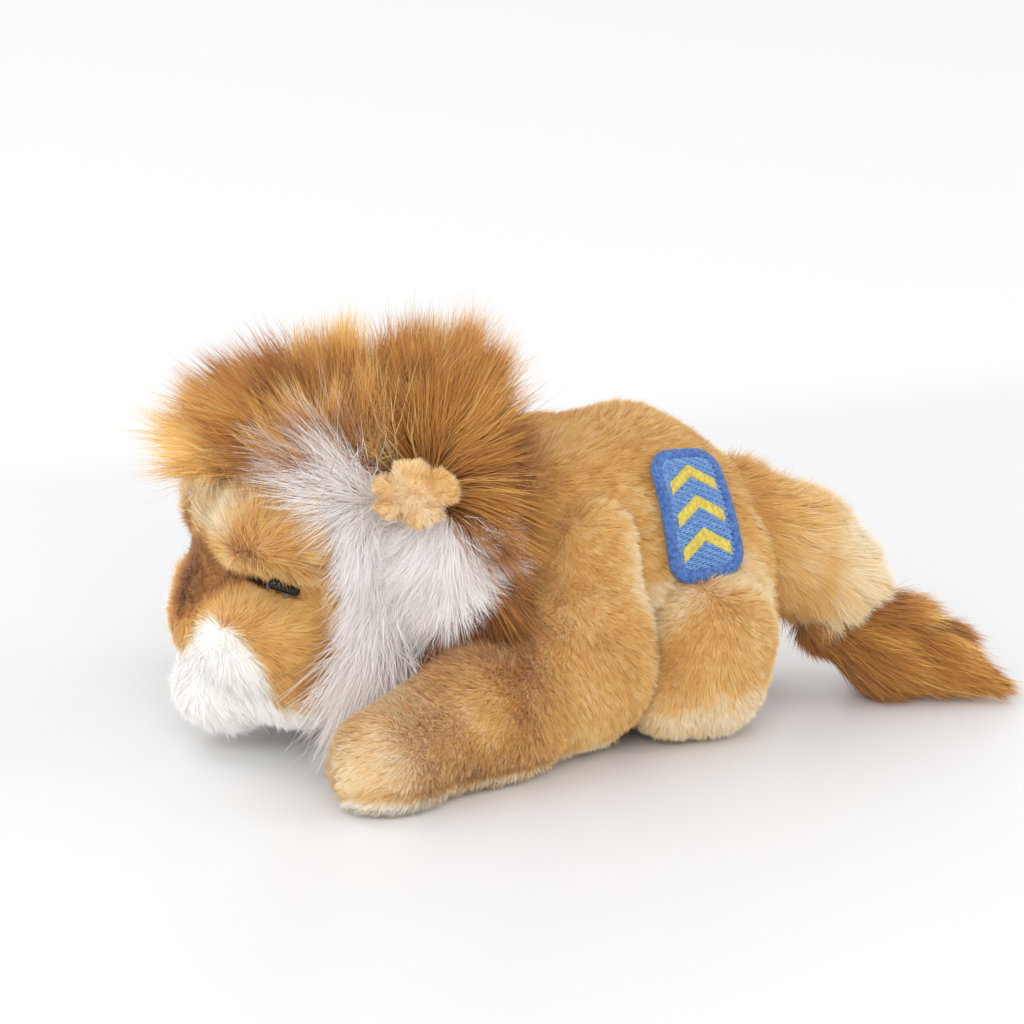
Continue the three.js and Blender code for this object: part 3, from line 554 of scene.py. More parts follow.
def make_hair_tree():
    """Strands that grow on a skin, lean the way it is combed, and gather in locks."""
    sizes = [(size, "Float") for size in HAIR_SIZES]
    tree, given = new_tree("Pile Strands", "GeometryNodeTree", [
        ("Skin", "Geometry"), ("Seed", "Int"), *sizes, ("Strand", "Object"), ("Material", "Material")],
        ("Strands", "Geometry"))

    def times(a, b):
        return number(tree, "MULTIPLY", a, b)

    def plus(a, b):
        return number(tree, "ADD", a, b)

    def scaled(way, by):
        return arrow(tree, "SCALE", way, scale=by)

    def joined(one, other):
        return arrow(tree, "ADD", one, other)

    def kept(name, kind):
        return made(tree, "GeometryNodeInputNamedAttribute", {0: name}, data_type=kind)

    def chance(low, high, offset):
        seed = plus(given["Seed"], offset)
        return add(tree, "FunctionNodeRandomValue", {2: low, 3: high, 8: seed}, data_type="FLOAT").outputs[1]

    def scatter(offset):
        seed = plus(given["Seed"], offset)
        ends = {0: (-1, -1, -1), 1: (1, 1, 1), 8: seed}
        return made(tree, "FunctionNodeRandomValue", ends, data_type="FLOAT_VECTOR")

    def store(geometry, name, value, kind):
        inputs = {0: geometry, 2: name, 3: value}
        domain = "CORNER" if kind == "FLOAT2" else "POINT"
        return made(tree, "GeometryNodeStoreNamedAttribute", inputs, data_type=kind, domain=domain)

    position = made(tree, "GeometryNodeInputPosition")
    spacing = number(tree, "DIVIDE", ROOT_SPACING, number(tree, "SQRT", given["Density"]))
    sown = add(tree, "GeometryNodeDistributePointsOnFaces", {
        "Mesh": given["Skin"], "Distance Min": spacing, "Density Max": times(given["Density"], OVERSOWN),
        "Density Factor": kept("cover", "FLOAT"), "Seed": given["Seed"],
    }, distribute_method="POISSON")
    locks = made(tree, "GeometryNodeDistributePointsOnFaces", {
        "Mesh": given["Skin"], "Density": given["Locks"], "Seed": plus(given["Seed"], 5),
    })
    nearest = made(tree, "GeometryNodeSampleNearest", {0: locks, 1: position})
    middle, temper = (made(tree, "GeometryNodeSampleIndex", {0: locks, 1: value, 2: nearest},
                           data_type="FLOAT_VECTOR") for value in (position, scatter(6)))

    # The way each strand runs, how long it is and how it bends.
    normal = sown.outputs["Normal"]
    comb = kept("comb", "FLOAT_VECTOR")
    upright = number(tree, "SUBTRACT", 1.0, arrow(tree, "LENGTH", comb))
    lean = joined(scaled(normal, upright), comb)
    wild = plus(TAME, times(WILD, number(tree, "POWER", chance(0, 1, 9), WILD_FEW)))
    stray = scaled(scatter(1), times(given["Spread"], wild))
    direction = arrow(tree, "NORMALIZE", joined(lean, stray))
    length = times(times(given["Length"], kept("reach", "FLOAT")), chance(given["Shortest"], LONGEST, 2))
    gather = scaled(arrow(tree, "SUBTRACT", middle, position), given["Gather"])
    sway = scaled(temper, times(given["Lock Lean"], length))
    drop = times(given["Droop"], times(length, -1.0))
    fall = made(tree, "ShaderNodeCombineXYZ", {2: drop})
    bend = joined(joined(gather, sway), fall)
    bow = scaled(scatter(4), times(given["Bow"], length))
    uneven = times(given["Shade Spread"], chance(-1, 1, 3))
    shade = plus(kept("tone", "FLOAT"), uneven)
    lock_tone = made(tree, "ShaderNodeSeparateXYZ", {0: temper})
    shade = plus(shade, times(given["Lock Shade"], lock_tone))
    shade = made(tree, "ShaderNodeClamp", {0: shade, 1: 0.005, 2: 0.985})
    points = sown.outputs["Points"]
    for name, value, kind in (("bend", bend, "FLOAT_VECTOR"), ("bow", bow, "FLOAT_VECTOR"),
                              ("shade", shade, "FLOAT"), ("skin_normal", normal, "FLOAT_VECTOR")):
        points = store(points, name, value, kind)

    # Each strand is a flat blade that turns its face outward, give or take a roll.
    strand = add(tree, "GeometryNodeObjectInfo", {0: given["Strand"]}).outputs["Geometry"]
    along_way = made(tree, "FunctionNodeAlignRotationToVector", {2: direction}, axis="Z")
    along_and_out = {0: along_way, 2: normal}
    faced = made(tree, "FunctionNodeAlignRotationToVector", along_and_out, axis="Y", pivot_axis="Z")
    roll_over = times(given["Roll"], chance(-1, 1, 7))
    spin = made(tree, "FunctionNodeAxisAngleToRotation", {0: (0, 0, 1), 1: roll_over})
    turned = made(tree, "FunctionNodeRotateRotation", {0: faced, 1: spin}, rotation_space="LOCAL")
    width = times(given["Width"], chance(0.75, 1.25, 8))
    size = made(tree, "ShaderNodeCombineXYZ", {0: width, 1: width, 2: length})
    planted = made(tree, "GeometryNodeInstanceOnPoints", {0: points, 2: strand, 5: turned, 6: size})
    grown = made(tree, "GeometryNodeRealizeInstances", {0: planted})

    # The bend grows towards the tip, and nothing goes through the floor.
    along = kept("along", "FLOAT")
    curve = number(tree, "POWER", along, TIP_BEND)
    belly = times(along, number(tree, "SUBTRACT", 1.0, along))
    offset = joined(scaled(kept("bend", "FLOAT_VECTOR"), curve), scaled(kept("bow", "FLOAT_VECTOR"), belly))
    grown = made(tree, "GeometryNodeSetPosition", {0: grown, 3: offset})
    now = add(tree, "ShaderNodeSeparateXYZ", {0: position}).outputs
    above = number(tree, "MAXIMUM", now[2], FLOOR * MM)
    lifted = made(tree, "ShaderNodeCombineXYZ", {0: now[0], 1: now[1], 2: above})
    grown = made(tree, "GeometryNodeSetPosition", {0: grown, 2: lifted})
    u = plus(kept("shade", "FLOAT"), times(kept("around", "FLOAT"), 0.01))
    v = plus(0.01, times(along, 0.98))
    bake = made(tree, "ShaderNodeCombineXYZ", {0: u, 1: v})
    grown = store(grown, "OFBake", bake, "FLOAT2")
    grown = made(tree, "GeometryNodeSetShadeSmooth", {0: grown})
    own = made(tree, "GeometryNodeInputNormal")
    soft = add(tree, "ShaderNodeMix", {0: given["Softness"], 4: own, 5: kept("skin_normal", "FLOAT_VECTOR")},
               data_type="VECTOR").outputs[1]
    facing = {0: grown, "Custom Normal": arrow(tree, "NORMALIZE", soft)}
    grown = made(tree, "GeometryNodeSetMeshNormal", facing, mode="FREE", domain="POINT")
    finish_tree(tree, grown, given["Material"])
    return tree


hair_tree = make_hair_tree()


def make_strand(name, widths):
    """A flat blade of unit length that tapers through the given widths to a point."""
    steps = len(widths)
    p = [(side * width / 2, 0, i / steps) for i, width in enumerate(widths) for side in (-1, 1)] + [(0, 0, 1)]
    faces = [(2 * i, 2 * i + 2, 2 * i + 3, 2 * i + 1) for i in range(steps - 1)]
    faces.append((2 * steps - 2, 2 * steps, 2 * steps - 1))
    mesh = bpy.data.meshes.new(name)
    mesh.from_pydata(p, [], faces)
    note(mesh, "along", np.array([q[2] for q in p]))
    note(mesh, "around", np.array([q[0] for q in p]))
    return bpy.data.objects.new(name, mesh)


short_strand = make_strand("short_strand", [1])
long_strand = make_strand("long_strand", [1, 0.7])


ANY_PILE = dict(shortest=0.72, width=0.4, spread=0.3, locks=6, gather=0.3, lock_lean=0.15, droop=0, bow=0,
                roll=0.6, shade_spread=0.06, lock_shade=0.05, softness=0.4, strand=short_strand)
COAT_PILE = dict(density=1050, length=5.3, spread=0.16, locks=22, gather=0.35, lock_lean=0.12,
                 lock_shade=0.06)
LONG_PILE = dict(strand=long_strand, roll=1.2)
PER_SQUARE_CENTIMETRE = 1e4


def grow(name, skin, body, material, **sizes):
    """The strands on a skin, as a mesh of their own.

    Lengths and widths are in millimetres. Densities and locks are counts for a square centimetre.
    """
    given = {key.replace("_", " ").title(): value for key, value in {**ANY_PILE, **sizes}.items()}
    given["Material"] = material
    for key in ("Length", "Width"):
        given[key] *= MM
    for key in ("Density", "Locks"):
        given[key] *= PER_SQUARE_CENTIMETRE
    mesh = worked(hair_tree, placed(name + "_sower", skin.data.copy()), given)
    mesh.name = name
    for spare in ("comb", "tone", "reach", "cover", "bend", "bow", "shade", "skin_normal", "along", "around"):
        if spare in mesh.attributes:
            mesh.attributes.remove(mesh.attributes[spare])
    return piece_of(name, mesh, body, material)


# The skins, combed and toned

def skin_piece(name, form, low, high, step, body, inset=PILE, material=coat_backing):
    """The backing of a stuffed form that lies between two corners of a box."""
    p, faces = wrap(on_floor(form, inset), low, high, step)
    return piece_of(name, mesh_of(name, p, faces), body, material)


def dress(skin, **notes):
    """Notes each corner's tone, the way its pile is combed, its length (reach) and where it grows (cover)."""
    for name, values in notes.items():
        note(skin.data, name, values)


def buried(p, form, depth=4.0):
    """1 where a place lies deep inside another form, and 0 outside it."""
    return smooth((-form(p) - depth) / 3)


def near(p, form):
    """1 where a place lies by another form's surface, and 0 away from it."""
    return smooth(1 - np.abs(form(p)) / 9)


# Where each part lies in its range of tones
TORSO_TONE, LIMB_TONE, TAIL_TONE, FACE_TONE = 0.51, 0.53, 0.485, 0.53
FOREHEAD_TONE, BRIDGE_TONE, WHITE_TONE, EAR_TONE = 0.81, 0.255, 0.985, 0.68
MANE_TONE, TUFT_TONE, RUFF_TONE = 0.54, 0.52, 0.93

TUFT_TIP = (172, -38, 5)  # where the pile of the tail's tuft runs to


def sides_of(p):
    return (("left", p[:, 1] <= 0), ("right", p[:, 1] > 0))


def make_torso():
    skin = skin_piece("torso_cover", torso_form, (-45, -55, -4), (100, 55, 130), 3.2, "torso")
    p, n = corners_of(skin)
    comb = flat_on(n, np.array([0.8, 0, -0.5])) * (0.52 + 0.08 * ripple(p, 18, 3))[:, None]
    # Painted light: the torso is toned paler towards its top, and paler by the legs to fill the shade of the
    # creases.
    tone = TORSO_TONE + 0.05 * ripple(p, 22, 4) + 0.03 * ripple(p, 7, 5) + 0.06 * smooth((p[:, 2] - 85) / 40)
    tone += 0.12 * near(p, foreleg_form) * smooth((p[:, 0] - 8) / 10) + 0.2 * near(p, hind_leg_form)
    hidden = np.maximum.reduce([buried(p, foreleg_form) * (p[:, 0] > -30), buried(p, hind_leg_form),
                                buried(p, head_form)])
    across, up = ((p - PATCH_AT) @ PATCH_WAYS[:2].T).T
    patch = smooth((PATCH_HALF[0] - np.abs(across)) / 3) * smooth((PATCH_HALF[1] + 0.5 - np.abs(up)) / 3)
    cover = (1 - hidden) * (1 - patch * (p[:, 1] < 0))
    dress(skin, tone=tone, comb=comb, reach=1 + 0.15 * ripple(p, 12, 6))
    for side, mask in sides_of(p):
        note(skin.data, "cover", cover * mask)
        pile = grow("torso_pile_" + side, skin, "torso", coat, seed=11 + (side == "left"), **COAT_PILE)
    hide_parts("torso_skin", "torso_stuffing")


def make_limb(kind, side, form, low, high, parts, paw_tone, seed):
    """A leg with a skin of its own. Its pile runs down and away from the viewer, and back at the torso."""
    name, flip = f"{kind}_{side}", 1 if side == "left" else -1
    own_half = lambda p: np.maximum(form(p), flip * p[:, 1] - 2)
    skin = skin_piece(name + "_cover", own_half, low, high, 3.0, name)
    p, n = corners_of(skin)
    raised = smooth((p[:, 2:] - 46) / 34)
    front = smooth((-6 - p[:, :1]) / 40)
    comb = np.array([-0.8, -0.25 * flip, -0.3]) * front + np.array([-0.1, 0.5 * flip, -0.85]) * (1 - front)
    comb = flat_on(n, comb * (1 - raised) + np.array([0.7, 0.2 * flip, -0.6]) * raised)
    comb = comb * (0.52 + 0.08 * ripple(p, 16, seed))[:, None]
    tone = LIMB_TONE + 0.05 * ripple(p, 20, seed + 1) + 0.03 * ripple(p, 7, seed + 2)
    # Painted light: the pile is toned paler by the torso, to fill the shade of the crease.
    tone += paw_tone(p) + 0.18 * near(p, torso_form) * smooth((p[:, 0] - 8) / 10)
    dress(skin, tone=tone, comb=comb, reach=1 + 0.15 * ripple(p, 12, seed + 3),
          cover=1 - buried(p, torso_form, 7.0))
    grow(name + "_pile", skin, name, coat, seed=seed, **COAT_PILE)
    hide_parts(*(f"{kind}_{part}_{side}" for part in parts))


def foreleg_tone(p):
    """Paler at the paw and the sole, as painted light where the head and the floor shade them; darker along
    the sole's seam, and darker by the ruff as its painted shadow.
    """
    seam = np.exp(-((p[:, 2] - 10) / 1.6) ** 2) * smooth((-p[:, 0] - 4) / 20)
    # Painted shadow of the ruff on the top of the foreleg.
    under_ruff = 0.4 * near(p, head_form) * (p[:, 2] > 24)
    # Painted light at the paw and along the sole.
    paler = 0.17 * smooth((-50 - p[:, 0]) / 40) + 0.24 * smooth((11 - p[:, 2]) / 4)
    return 0.03 + paler - 0.2 * seam - under_ruff


def hind_leg_tone(p):
    """Paler towards the toes."""
    return 0.27 * smooth((30 - p[:, 2]) / 18)


def make_limbs():
    for side, low, high, more in (("left", -115, 4, 0), ("right", -4, 115, 10)):
        make_limb("foreleg", side, foreleg_form, (-122, low, -4), (36, high, 114),
                  ("skin", "sole", "stuffing"), foreleg_tone, 31 + more)
        make_limb("hind_leg", side, hind_leg_form, (4, low, -4), (90, high, 80),
                  ("skin", "stuffing"), hind_leg_tone, 51 + more)


def make_tail():
    skin = skin_piece("tail_cover", tail_form, (48, -30, -4), (146, 26, 100), 2.6, "tail")
    p, n = corners_of(skin)
    comb = flat_on(n, np.array([0.8, 0.15, -0.6])) * 0.66
    tone = TAIL_TONE + 0.28 * smooth((p[:, 0] - 70) / 50) + 0.18 * smooth((40 - p[:, 2]) / 20)
    dress(skin, tone=tone + 0.05 * ripple(p, 16, 71), comb=comb, reach=1.1 + 0.2 * ripple(p, 10, 72),
          cover=1 - buried(p, torso_form, 6.0))
    pile = grow("tail_pile", skin, "tail", coat, seed=73, density=1050, length=9, spread=0.2, locks=8,
                lock_lean=0.18)
    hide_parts("tail_skin", "tail_stuffing")


def make_tuft():
    """The tuft at the tail's end, whose pile all runs towards one point."""
    core = skin_piece("tail_tuft_cover", tuft_form, (96, -40, -4), (160, 18, 52), 2.2, "tail", inset=2.0,
                      material=mane_backing)
    p, n = corners_of(core)
    ahead = np.array(TUFT_TIP) - p
    far = np.linalg.norm(ahead, axis=1)
    ahead /= far[:, None]
    ahead -= np.minimum((ahead * n).sum(1), 0)[:, None] * n
    comb = ahead / np.linalg.norm(ahead, axis=1, keepdims=True) * 0.93
    reach = np.minimum(0.95 + 0.1 * ripple(p, 9, 74) + 0.1 * ripple(p, 4, 77), far / 23)
    reach *= 0.5 + 0.5 * smooth((p[:, 0] - 102) / 16)
    dress(core, tone=TUFT_TONE + 0.12 * ripple(p, 9, 75), comb=comb, reach=reach, cover=np.ones(len(p)))
    hair = grow("tail_tuft_hair", core, "tail", mane_pile, seed=76, density=1000, length=23, spread=0.09,
                locks=8, gather=0.6, lock_lean=0.1, droop=0.02, bow=0.2, shade_spread=0.12, lock_shade=0.1,
                softness=0.2, **LONG_PILE)
    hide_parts("tail_tuft")


def from_lid(seen):
    """How far each place on the board lies from the eyelid's painted shade, which is thickest halfway along.
    """
    way = LID_END - LID_START
    share = np.clip((seen - LID_START) @ way / (way @ way), 0, 1)
    return np.linalg.norm(seen - LID_START - share[:, None] * way, axis=1) - 1.6 * np.sin(share * math.pi)


def widened(cover):
    """Doubled, so that no bare backing shows where one kind of pile gives way to the next."""
    return np.minimum(1, 2 * cover)


def dress_face(skin, p, n, seen, face):
    """The short pile of the face, the bridge and the chin. Returns the tones of the corners."""
    aside = np.abs(p[:, 1])
    chin = within(seen, CHIN, 2) * face
    bridge = within(seen, BRIDGE, 5) * smooth((26 - aside) / 4) * face * (1 - chin)
    forehead = within(seen, FOREHEAD, 5) * smooth((34 - aside) / 10)
    brow = within(seen, BROW, 5) * smooth((aside - 14) / 10)
    by_lid = smooth((9 - from_lid(seen)) / 4) * (aside > 18)
    lid_shade = smooth((2.4 - from_lid(seen)) / 1.2) * (aside > 18)
    tone = FACE_TONE + 0.05 * ripple(p, 18, 81) + 0.03 * ripple(p, 6, 82) + 0.06 * brow
    tone = tone * (1 - forehead) + FOREHEAD_TONE * forehead
    tone = tone * (1 - bridge) + bridge * (BRIDGE_TONE + 0.3 * smooth((66 - p[:, 2]) / 20))
    # Painted shade along the eye's crease: the tone goes to the darkest, and below, the coat pile is left out
    # there.
    tone = tone * (1 - lid_shade)
    tone = tone * (1 - chin) + chin * WHITE_TONE

    inward = 0.35 * smooth(-p[:, 1] / 10) - 0.35 * smooth((p[:, 1] - 26) / 8)
    upward = 0.35 - 0.65 * smooth((76 - p[:, 2]) / 8)
    comb = flat_on(n, np.column_stack([np.full(len(p), 0.8), inward, upward]))
    comb *= (0.62 + 0.24 * chin - 0.1 * brow)[:, None]
    reach = (1 + 0.12 * ripple(p, 10, 83)) * (1 - 0.4 * bridge) * (1 + 0.7 * brow) * (1 - 0.5 * by_lid)
    dress(skin, tone=tone, comb=comb, reach=reach)

    coat_cover = widened(face) * widened(1 - bridge) * widened(1 - chin) * (1 - lid_shade)
    for name, cover, slot, material, node, shade in (
            ("head_pile", coat_cover, "coat", coat, None, 0.05),
            ("nose_bridge_pile", widened(bridge), "bridge", coat, "nose_bridge", 0.03),
            ("chin_pile", widened(chin), "white", white_pile, "chin", 0.0)):
        note(skin.data, "cover", cover)
        piece = grow(name, skin, "head", material, seed=84 + len(name), density=1100, length=7, spread=0.18,
                     locks=16, lock_lean=0.14, shade_spread=shade, lock_shade=shade)
        if node:
            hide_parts(node)
    return tone


def grow_mane(skin, p, n, seen, hair):
    """The mane stands out from around the ear, and behind it hangs down over the shoulder."""
    along, up = seen.T
    behind = smooth((along + 46) / 16)
    high = smooth((up - 76) / 26)
    under = behind * (1 - high)
    level = behind * (1 - np.abs(2 * high - 1))
    hang = np.outer(high, [0.6, 1]) + np.outer(1 - high, [0.3, -1]) + np.outer(level, [0.8, 0])
    way = outward(seen, MANE_MIDDLE) + np.outer(smooth((-80 - along) / 30), [0, 0.3])
    way = way * (1 - behind[:, None]) + hang * behind[:, None]
    way += 0.3 * np.column_stack([ripple(p, 11, 98), ripple(p, 11, 99)]) * (1 - 0.7 * under[:, None])
    reach = 0.98 + 0.1 * ripple(p, 12, 92) + 0.1 * ripple(p, 5, 94) + 0.03 * smooth((-90 - along) / 20)
    # The part that hangs below is toned darker: partly the mane's own darker brown, partly painted shadow
    # under the ruff.
    dress(skin, comb=laid(n, way, np.sign(p[:, 1])) * (0.45 + 0.42 * under + 0.2 * level)[:, None],
          tone=MANE_TONE + 0.14 * ripple(p, 9, 91) + 0.34 * smooth((-76 - along) / 40) - 0.4 * under,
          reach=reach + 0.15 * behind * high - 0.35 * level)
    by_ear = smooth((15 - np.linalg.norm(seen - np.array(EAR_STEM), axis=1)) / 4)
    cover = smooth(hair * 2 - 0.5) * (1 - by_ear) * (1 - buried(p, torso_form, 12.0))
    for side, mask in sides_of(p):
        note(skin.data, "cover", cover * mask)
        piece = grow("mane_hair_" + side, skin, "head", mane_pile, seed=93 + (side == "left"), density=1100,
                     length=38, spread=0.14, locks=3, gather=0.8, lock_lean=0.26, droop=0.08, bow=0.15,
                     shade_spread=0.12, lock_shade=0.2, shortest=0.5, softness=0.15, **LONG_PILE)
        if side == "left":
            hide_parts("mane")


def grow_ruffs(skin, p, n, seen, ruff):
    """The ruff lies down over the cheek, with a wing that runs forward and a rear edge that runs back."""
    along, up = seen.T
    wing = smooth((-56 - along) / 12) * smooth((up - 72) / 12)
    tip = smooth((44 - up) / 18) * smooth((-32 - along) / 18)
    back = smooth((along + 42) / 16)
    way = np.outer((1 - wing) * (1 - back), [-0.65, -0.75])
    way = way + np.outer(wing, [-0.9, 0.3]) + np.outer(back, [0.9, -0.1])
    reach = (0.58 + 0.4 * wing + 0.7 * tip + 0.1 * smooth((-58 - along) / 8)) * (1 - 0.2 * back)
    # The ruff's lower tip is toned darker as painted shade.
    dress(skin, comb=laid(n, way, np.sign(p[:, 1])) * (0.66 + 0.1 * wing)[:, None],
          tone=RUFF_TONE - 0.12 * tip + 0.08 * ripple(p, 12, 95), reach=reach + 0.06 * ripple(p, 12, 97))
    for side, mask in sides_of(p):
        note(skin.data, "cover", ruff * mask)
        piece = grow("ruff_hair_" + side, skin, "head", ruff_pile, seed=96 + (side == "left"), density=1500,
                     length=36, width=0.34, spread=0.22, locks=9, gather=0.6, lock_lean=0.2, droop=0.06,
                     bow=0.2, shade_spread=0.08, lock_shade=0.08, softness=0.15, **LONG_PILE)
        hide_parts("ruff_" + side)


def make_head():
    skin = skin_piece("head_cover", head_form, (-160, -62, -4), (-16, 62, 140), 2.4, "head")
    p, n = corners_of(skin)
    seen = side_view(p)
    face = within(seen, FACE, 2)
    ruff = within(seen, RUFF, 2) * smooth((np.abs(p[:, 1]) - 20) / 8)
    tone = dress_face(skin, p, n, seen, face)
    grow_mane(skin, p, n, seen, (1 - face) * (1 - ruff))
    grow_ruffs(skin, p, n, seen, ruff)
    note(skin.data, "tone", np.where(ruff > 0.5, 0.8, np.where(1 - face > 0.5, 0.2, tone)))
    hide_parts("head_skin", "head_stuffing")


def make_ears():
    for side, flip, near_y, far_y in (("left", 1, -76, -28), ("right", -1, 28, 76)):
        own_half = lambda p: np.maximum(ear_form(p) + 2.5, flip * p[:, 1])
        p, faces = wrap(own_half, (-92, near_y, 88), (-46, far_y, 130), 1.4)
        skin = piece_of("ear_cover_" + side, mesh_of("ear_cover_" + side, p, faces), "head", coat_backing)
        p, n = corners_of(skin)
        comb = flat_on(n, p - np.array(EAR_AT) * (1, flip, 1)) * 0.45
        dress(skin, tone=EAR_TONE + 0.08 * ripple(p, 8, 101), comb=comb, reach=1 + 0.1 * ripple(p, 6, 102),
              cover=np.ones(len(p)))
        pile = grow("ear_pile_" + side, skin, "head", coat, seed=103, density=1500, length=3.4, width=0.35,
                    spread=0.4, locks=30, gather=0.5, lock_lean=0.25)
        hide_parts("ear_lining_" + side)
        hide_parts("ear_" + side)


def plastic_material(name, scale, detail, stops, roughness, shine):
    """A hard material whose colour varies softly between two shades."""
    material, tree, shader = bare_material(name)
    place = add(tree, "ShaderNodeTexCoord").outputs["Object"]
    cloud = add(tree, "ShaderNodeTexNoise", {"Vector": place, "Scale": scale, "Detail": detail})
    feed(tree, shader, {"Base Color": ramp(tree, cloud.outputs[0], stops), "Roughness": roughness,
                        "Specular IOR Level": shine})
    return material


def make_eyes():
    """Each eye shows as a sliver of black plastic under the brow."""
    shades = [(0.4, paint(16, 11, 9)), (0.7, paint(30, 20, 15))]
    material = plastic_material("eye", 3000.0, 2.0, shades, 0.2, 0.35)
    for side, flip in (("left", -1), ("right", 1)):
        start, end = (-116.8, flip * 35.6, 72.7), (-109.2, flip * 36.9, 69.4)
        middle = np.array([-113, flip * 36, 71.0])
        p, faces = wrap(lambda q: roll(q, start, end, 2.4, 1.9), middle - 10, middle + 10, 0.7)
        eye = piece_of("eye_dome_" + side, mesh_of("eye_dome_" + side, p, faces), "head", material)
        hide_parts("eye_" + side)


def make_washers():
    """The lock washers behind the eyes, in dark grey plastic."""
    shades = [(0.35, paint(104, 104, 102)), (0.7, paint(118, 118, 116))]
    material = plastic_material("dark plastic", 400.0, 4.0, shades, 0.4, 0.5)
    for side in ("left", "right"):
        for slot in bpy.data.objects["eye_washer_" + side].material_slots:
            slot.material = material


# The patch on the left hip

def on_hip(across, up, lift):
    """Places on the patch, which follows the torso: across and up from its middle, and up off the pile."""
    depths = np.arange(16.0, -26.0, -1.0)
    flat = PATCH_AT + np.outer(across, PATCH_WAYS[0]) + np.outer(up, PATCH_WAYS[1])
    p = flat[:, None] + depths[:, None] * PATCH_WAYS[2]
    off = torso_form(p.reshape(-1, 3)).reshape(len(flat), -1) - np.reshape(lift, (-1, 1))
    rows, first = np.arange(len(flat)), np.clip(np.argmax(off < 0, 1), 1, None)
    a, b = off[rows, first - 1], off[rows, first]
    depth = depths[first - 1] - np.clip(a / np.maximum(a - b, 1e-6), 0, 1)
    return flat + depth[:, None] * PATCH_WAYS[2]


def patch_edge(inset, count):
    """Places around the patch, evenly spaced, and the way out from its edge at each."""
    fine = 4000
    straight = PATCH_HALF - PATCH_CORNER
    t = (np.arange(fine) + 0.5) / fine * 2 * math.pi
    way = np.column_stack([np.cos(t), np.sin(t)])
    p = np.sign(way) * straight + way * (PATCH_CORNER - inset)
    ring = np.vstack([p, p[:1]])
    run = np.concatenate([[0], np.cumsum(np.linalg.norm(np.diff(ring, axis=0), axis=1))])
    at = np.linspace(0, run[-1], count, endpoint=False)
    even = np.column_stack([np.interp(at, run, ring[:, k]) for k in (0, 1)])
    out = even - np.clip(even, -straight, straight)
    return even, out / np.maximum(np.linalg.norm(out, axis=1, keepdims=True), 1e-6)


def thread_material(name, color, light):
    material, tree, shader = bare_material(name)
    place = add(tree, "ShaderNodeTexCoord").outputs["Object"]
    uneven = add(tree, "ShaderNodeTexNoise", {"Vector": place, "Scale": 700.0, "Detail": 2.0})
    twist = add(tree, "ShaderNodeTexWave", {"Vector": place, "Scale": 900.0, "Distortion": 2.0})
    bump = add(tree, "ShaderNodeBump", {"Height": twist.outputs[1], "Distance": 0.0002, "Strength": 0.5})
    feed(tree, shader, {"Base Color": ramp(tree, uneven.outputs[0], [(0.35, color), (0.7, light)]),
                        "Normal": bump.outputs[0], "Roughness": 0.42, "Sheen Weight": 0.3})
    return material


def make_stitch_tree():
    """Threads laid along the edges of a mesh."""
    tree, given = new_tree("Satin Stitches", "GeometryNodeTree", [
        ("Lines", "Geometry"), ("Thickness", "Float"), ("Sides", "Int"), ("Material", "Material")],
        ("Threads", "Geometry"))
    runs = made(tree, "GeometryNodeMeshToCurve", {0: given["Lines"]})
    radius = number(tree, "MULTIPLY", given["Thickness"], 0.5)
    circle = add(tree, "GeometryNodeCurvePrimitiveCircle", {"Resolution": given["Sides"], "Radius": radius})
    threads = add(tree, "GeometryNodeCurveToMesh", {
        "Curve": runs, "Profile Curve": circle.outputs[0], "Fill Caps": True})
    whole = made(tree, "GeometryNodeRealizeInstances", {0: threads.outputs[0]})
    finish_tree(tree, whole, given["Material"])
    return tree


stitch_tree = make_stitch_tree()


def stitch(name, starts, ends, lift, thickness, material):
    """Stitches from start to end on the patch, each one arched between its two holes."""
    share = np.array([0, 0.12, 0.5, 0.88, 1.0])
    arch = np.array([-0.8, 0.25, 0.5, 0.25, -0.8]) * thickness
    flat = starts[:, None] + (ends - starts)[:, None] * share[:, None]
    p = on_hip(flat[..., 0].ravel(), flat[..., 1].ravel(), lift + np.tile(arch, len(starts)))
    first = np.arange(len(starts)) * len(share)
    edges = np.vstack([np.column_stack([first + k, first + k + 1]) for k in range(len(share) - 1)])
    mesh = bpy.data.meshes.new(name + "_lines")
    mesh.from_pydata((p * MM).tolist(), edges.tolist(), [])
    threads = worked(stitch_tree, placed(name + "_lines", mesh), {
        "Thickness": thickness * MM, "Sides": 5, "Material": material})
    threads.name = name
    threads.shade_smooth()
    piece = piece_of(name, threads, "torso", material)
    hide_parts("hip_patch")


def make_cloth(material):
    """The patch's own cloth, with a top and an underside that meet at a closed edge."""
    around, rings = 72, 7
    edge, _ = patch_edge(0.3, around)
    flat = np.vstack([edge * share for share in np.linspace(0.04, 1.0, rings)])
    p = np.vstack([on_hip(flat[:, 0], flat[:, 1], lift) for lift in (0.9, -2.0)])
    half, faces = around * rings, []
    for k in range(rings - 1):
        for i in range(around):
            j = (i + 1) % around
            faces.append((k * around + i, (k + 1) * around + i, (k + 1) * around + j, k * around + j))
    faces += [tuple(half + i for i in reversed(face)) for face in faces]
    top, bottom = (rings - 1) * around, half + (rings - 1) * around
    for i in range(around):
        j = (i + 1) % around
        faces.append((top + i, bottom + i, bottom + j, top + j))
    faces.append(tuple(range(around)))
    faces.append(tuple(half + i for i in reversed(range(around))))
    mesh = bpy.data.meshes.new("patch_cloth")
    mesh.from_pydata((p * MM).tolist(), [], faces)
    mesh.update()
    mesh.shade_smooth()
    cloth = piece_of("patch_cloth", mesh, "torso", material)
    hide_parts("hip_patch")


FIELD_HALF, FIELD_CORNER = (12.0, 20.5), 5.3  # inside the border's stitches
ROW_STEP, STITCH_LONG, ROW_SHIFT = 0.72, 4.6, 1.6  # how the rows of the field lie
CHEVRON_FEET = (-17.5, -5.5, 6.5)
CHEVRON_HALF, CHEVRON_RISE, CHEVRON_BAND = 9.6, 6.2, 4.8


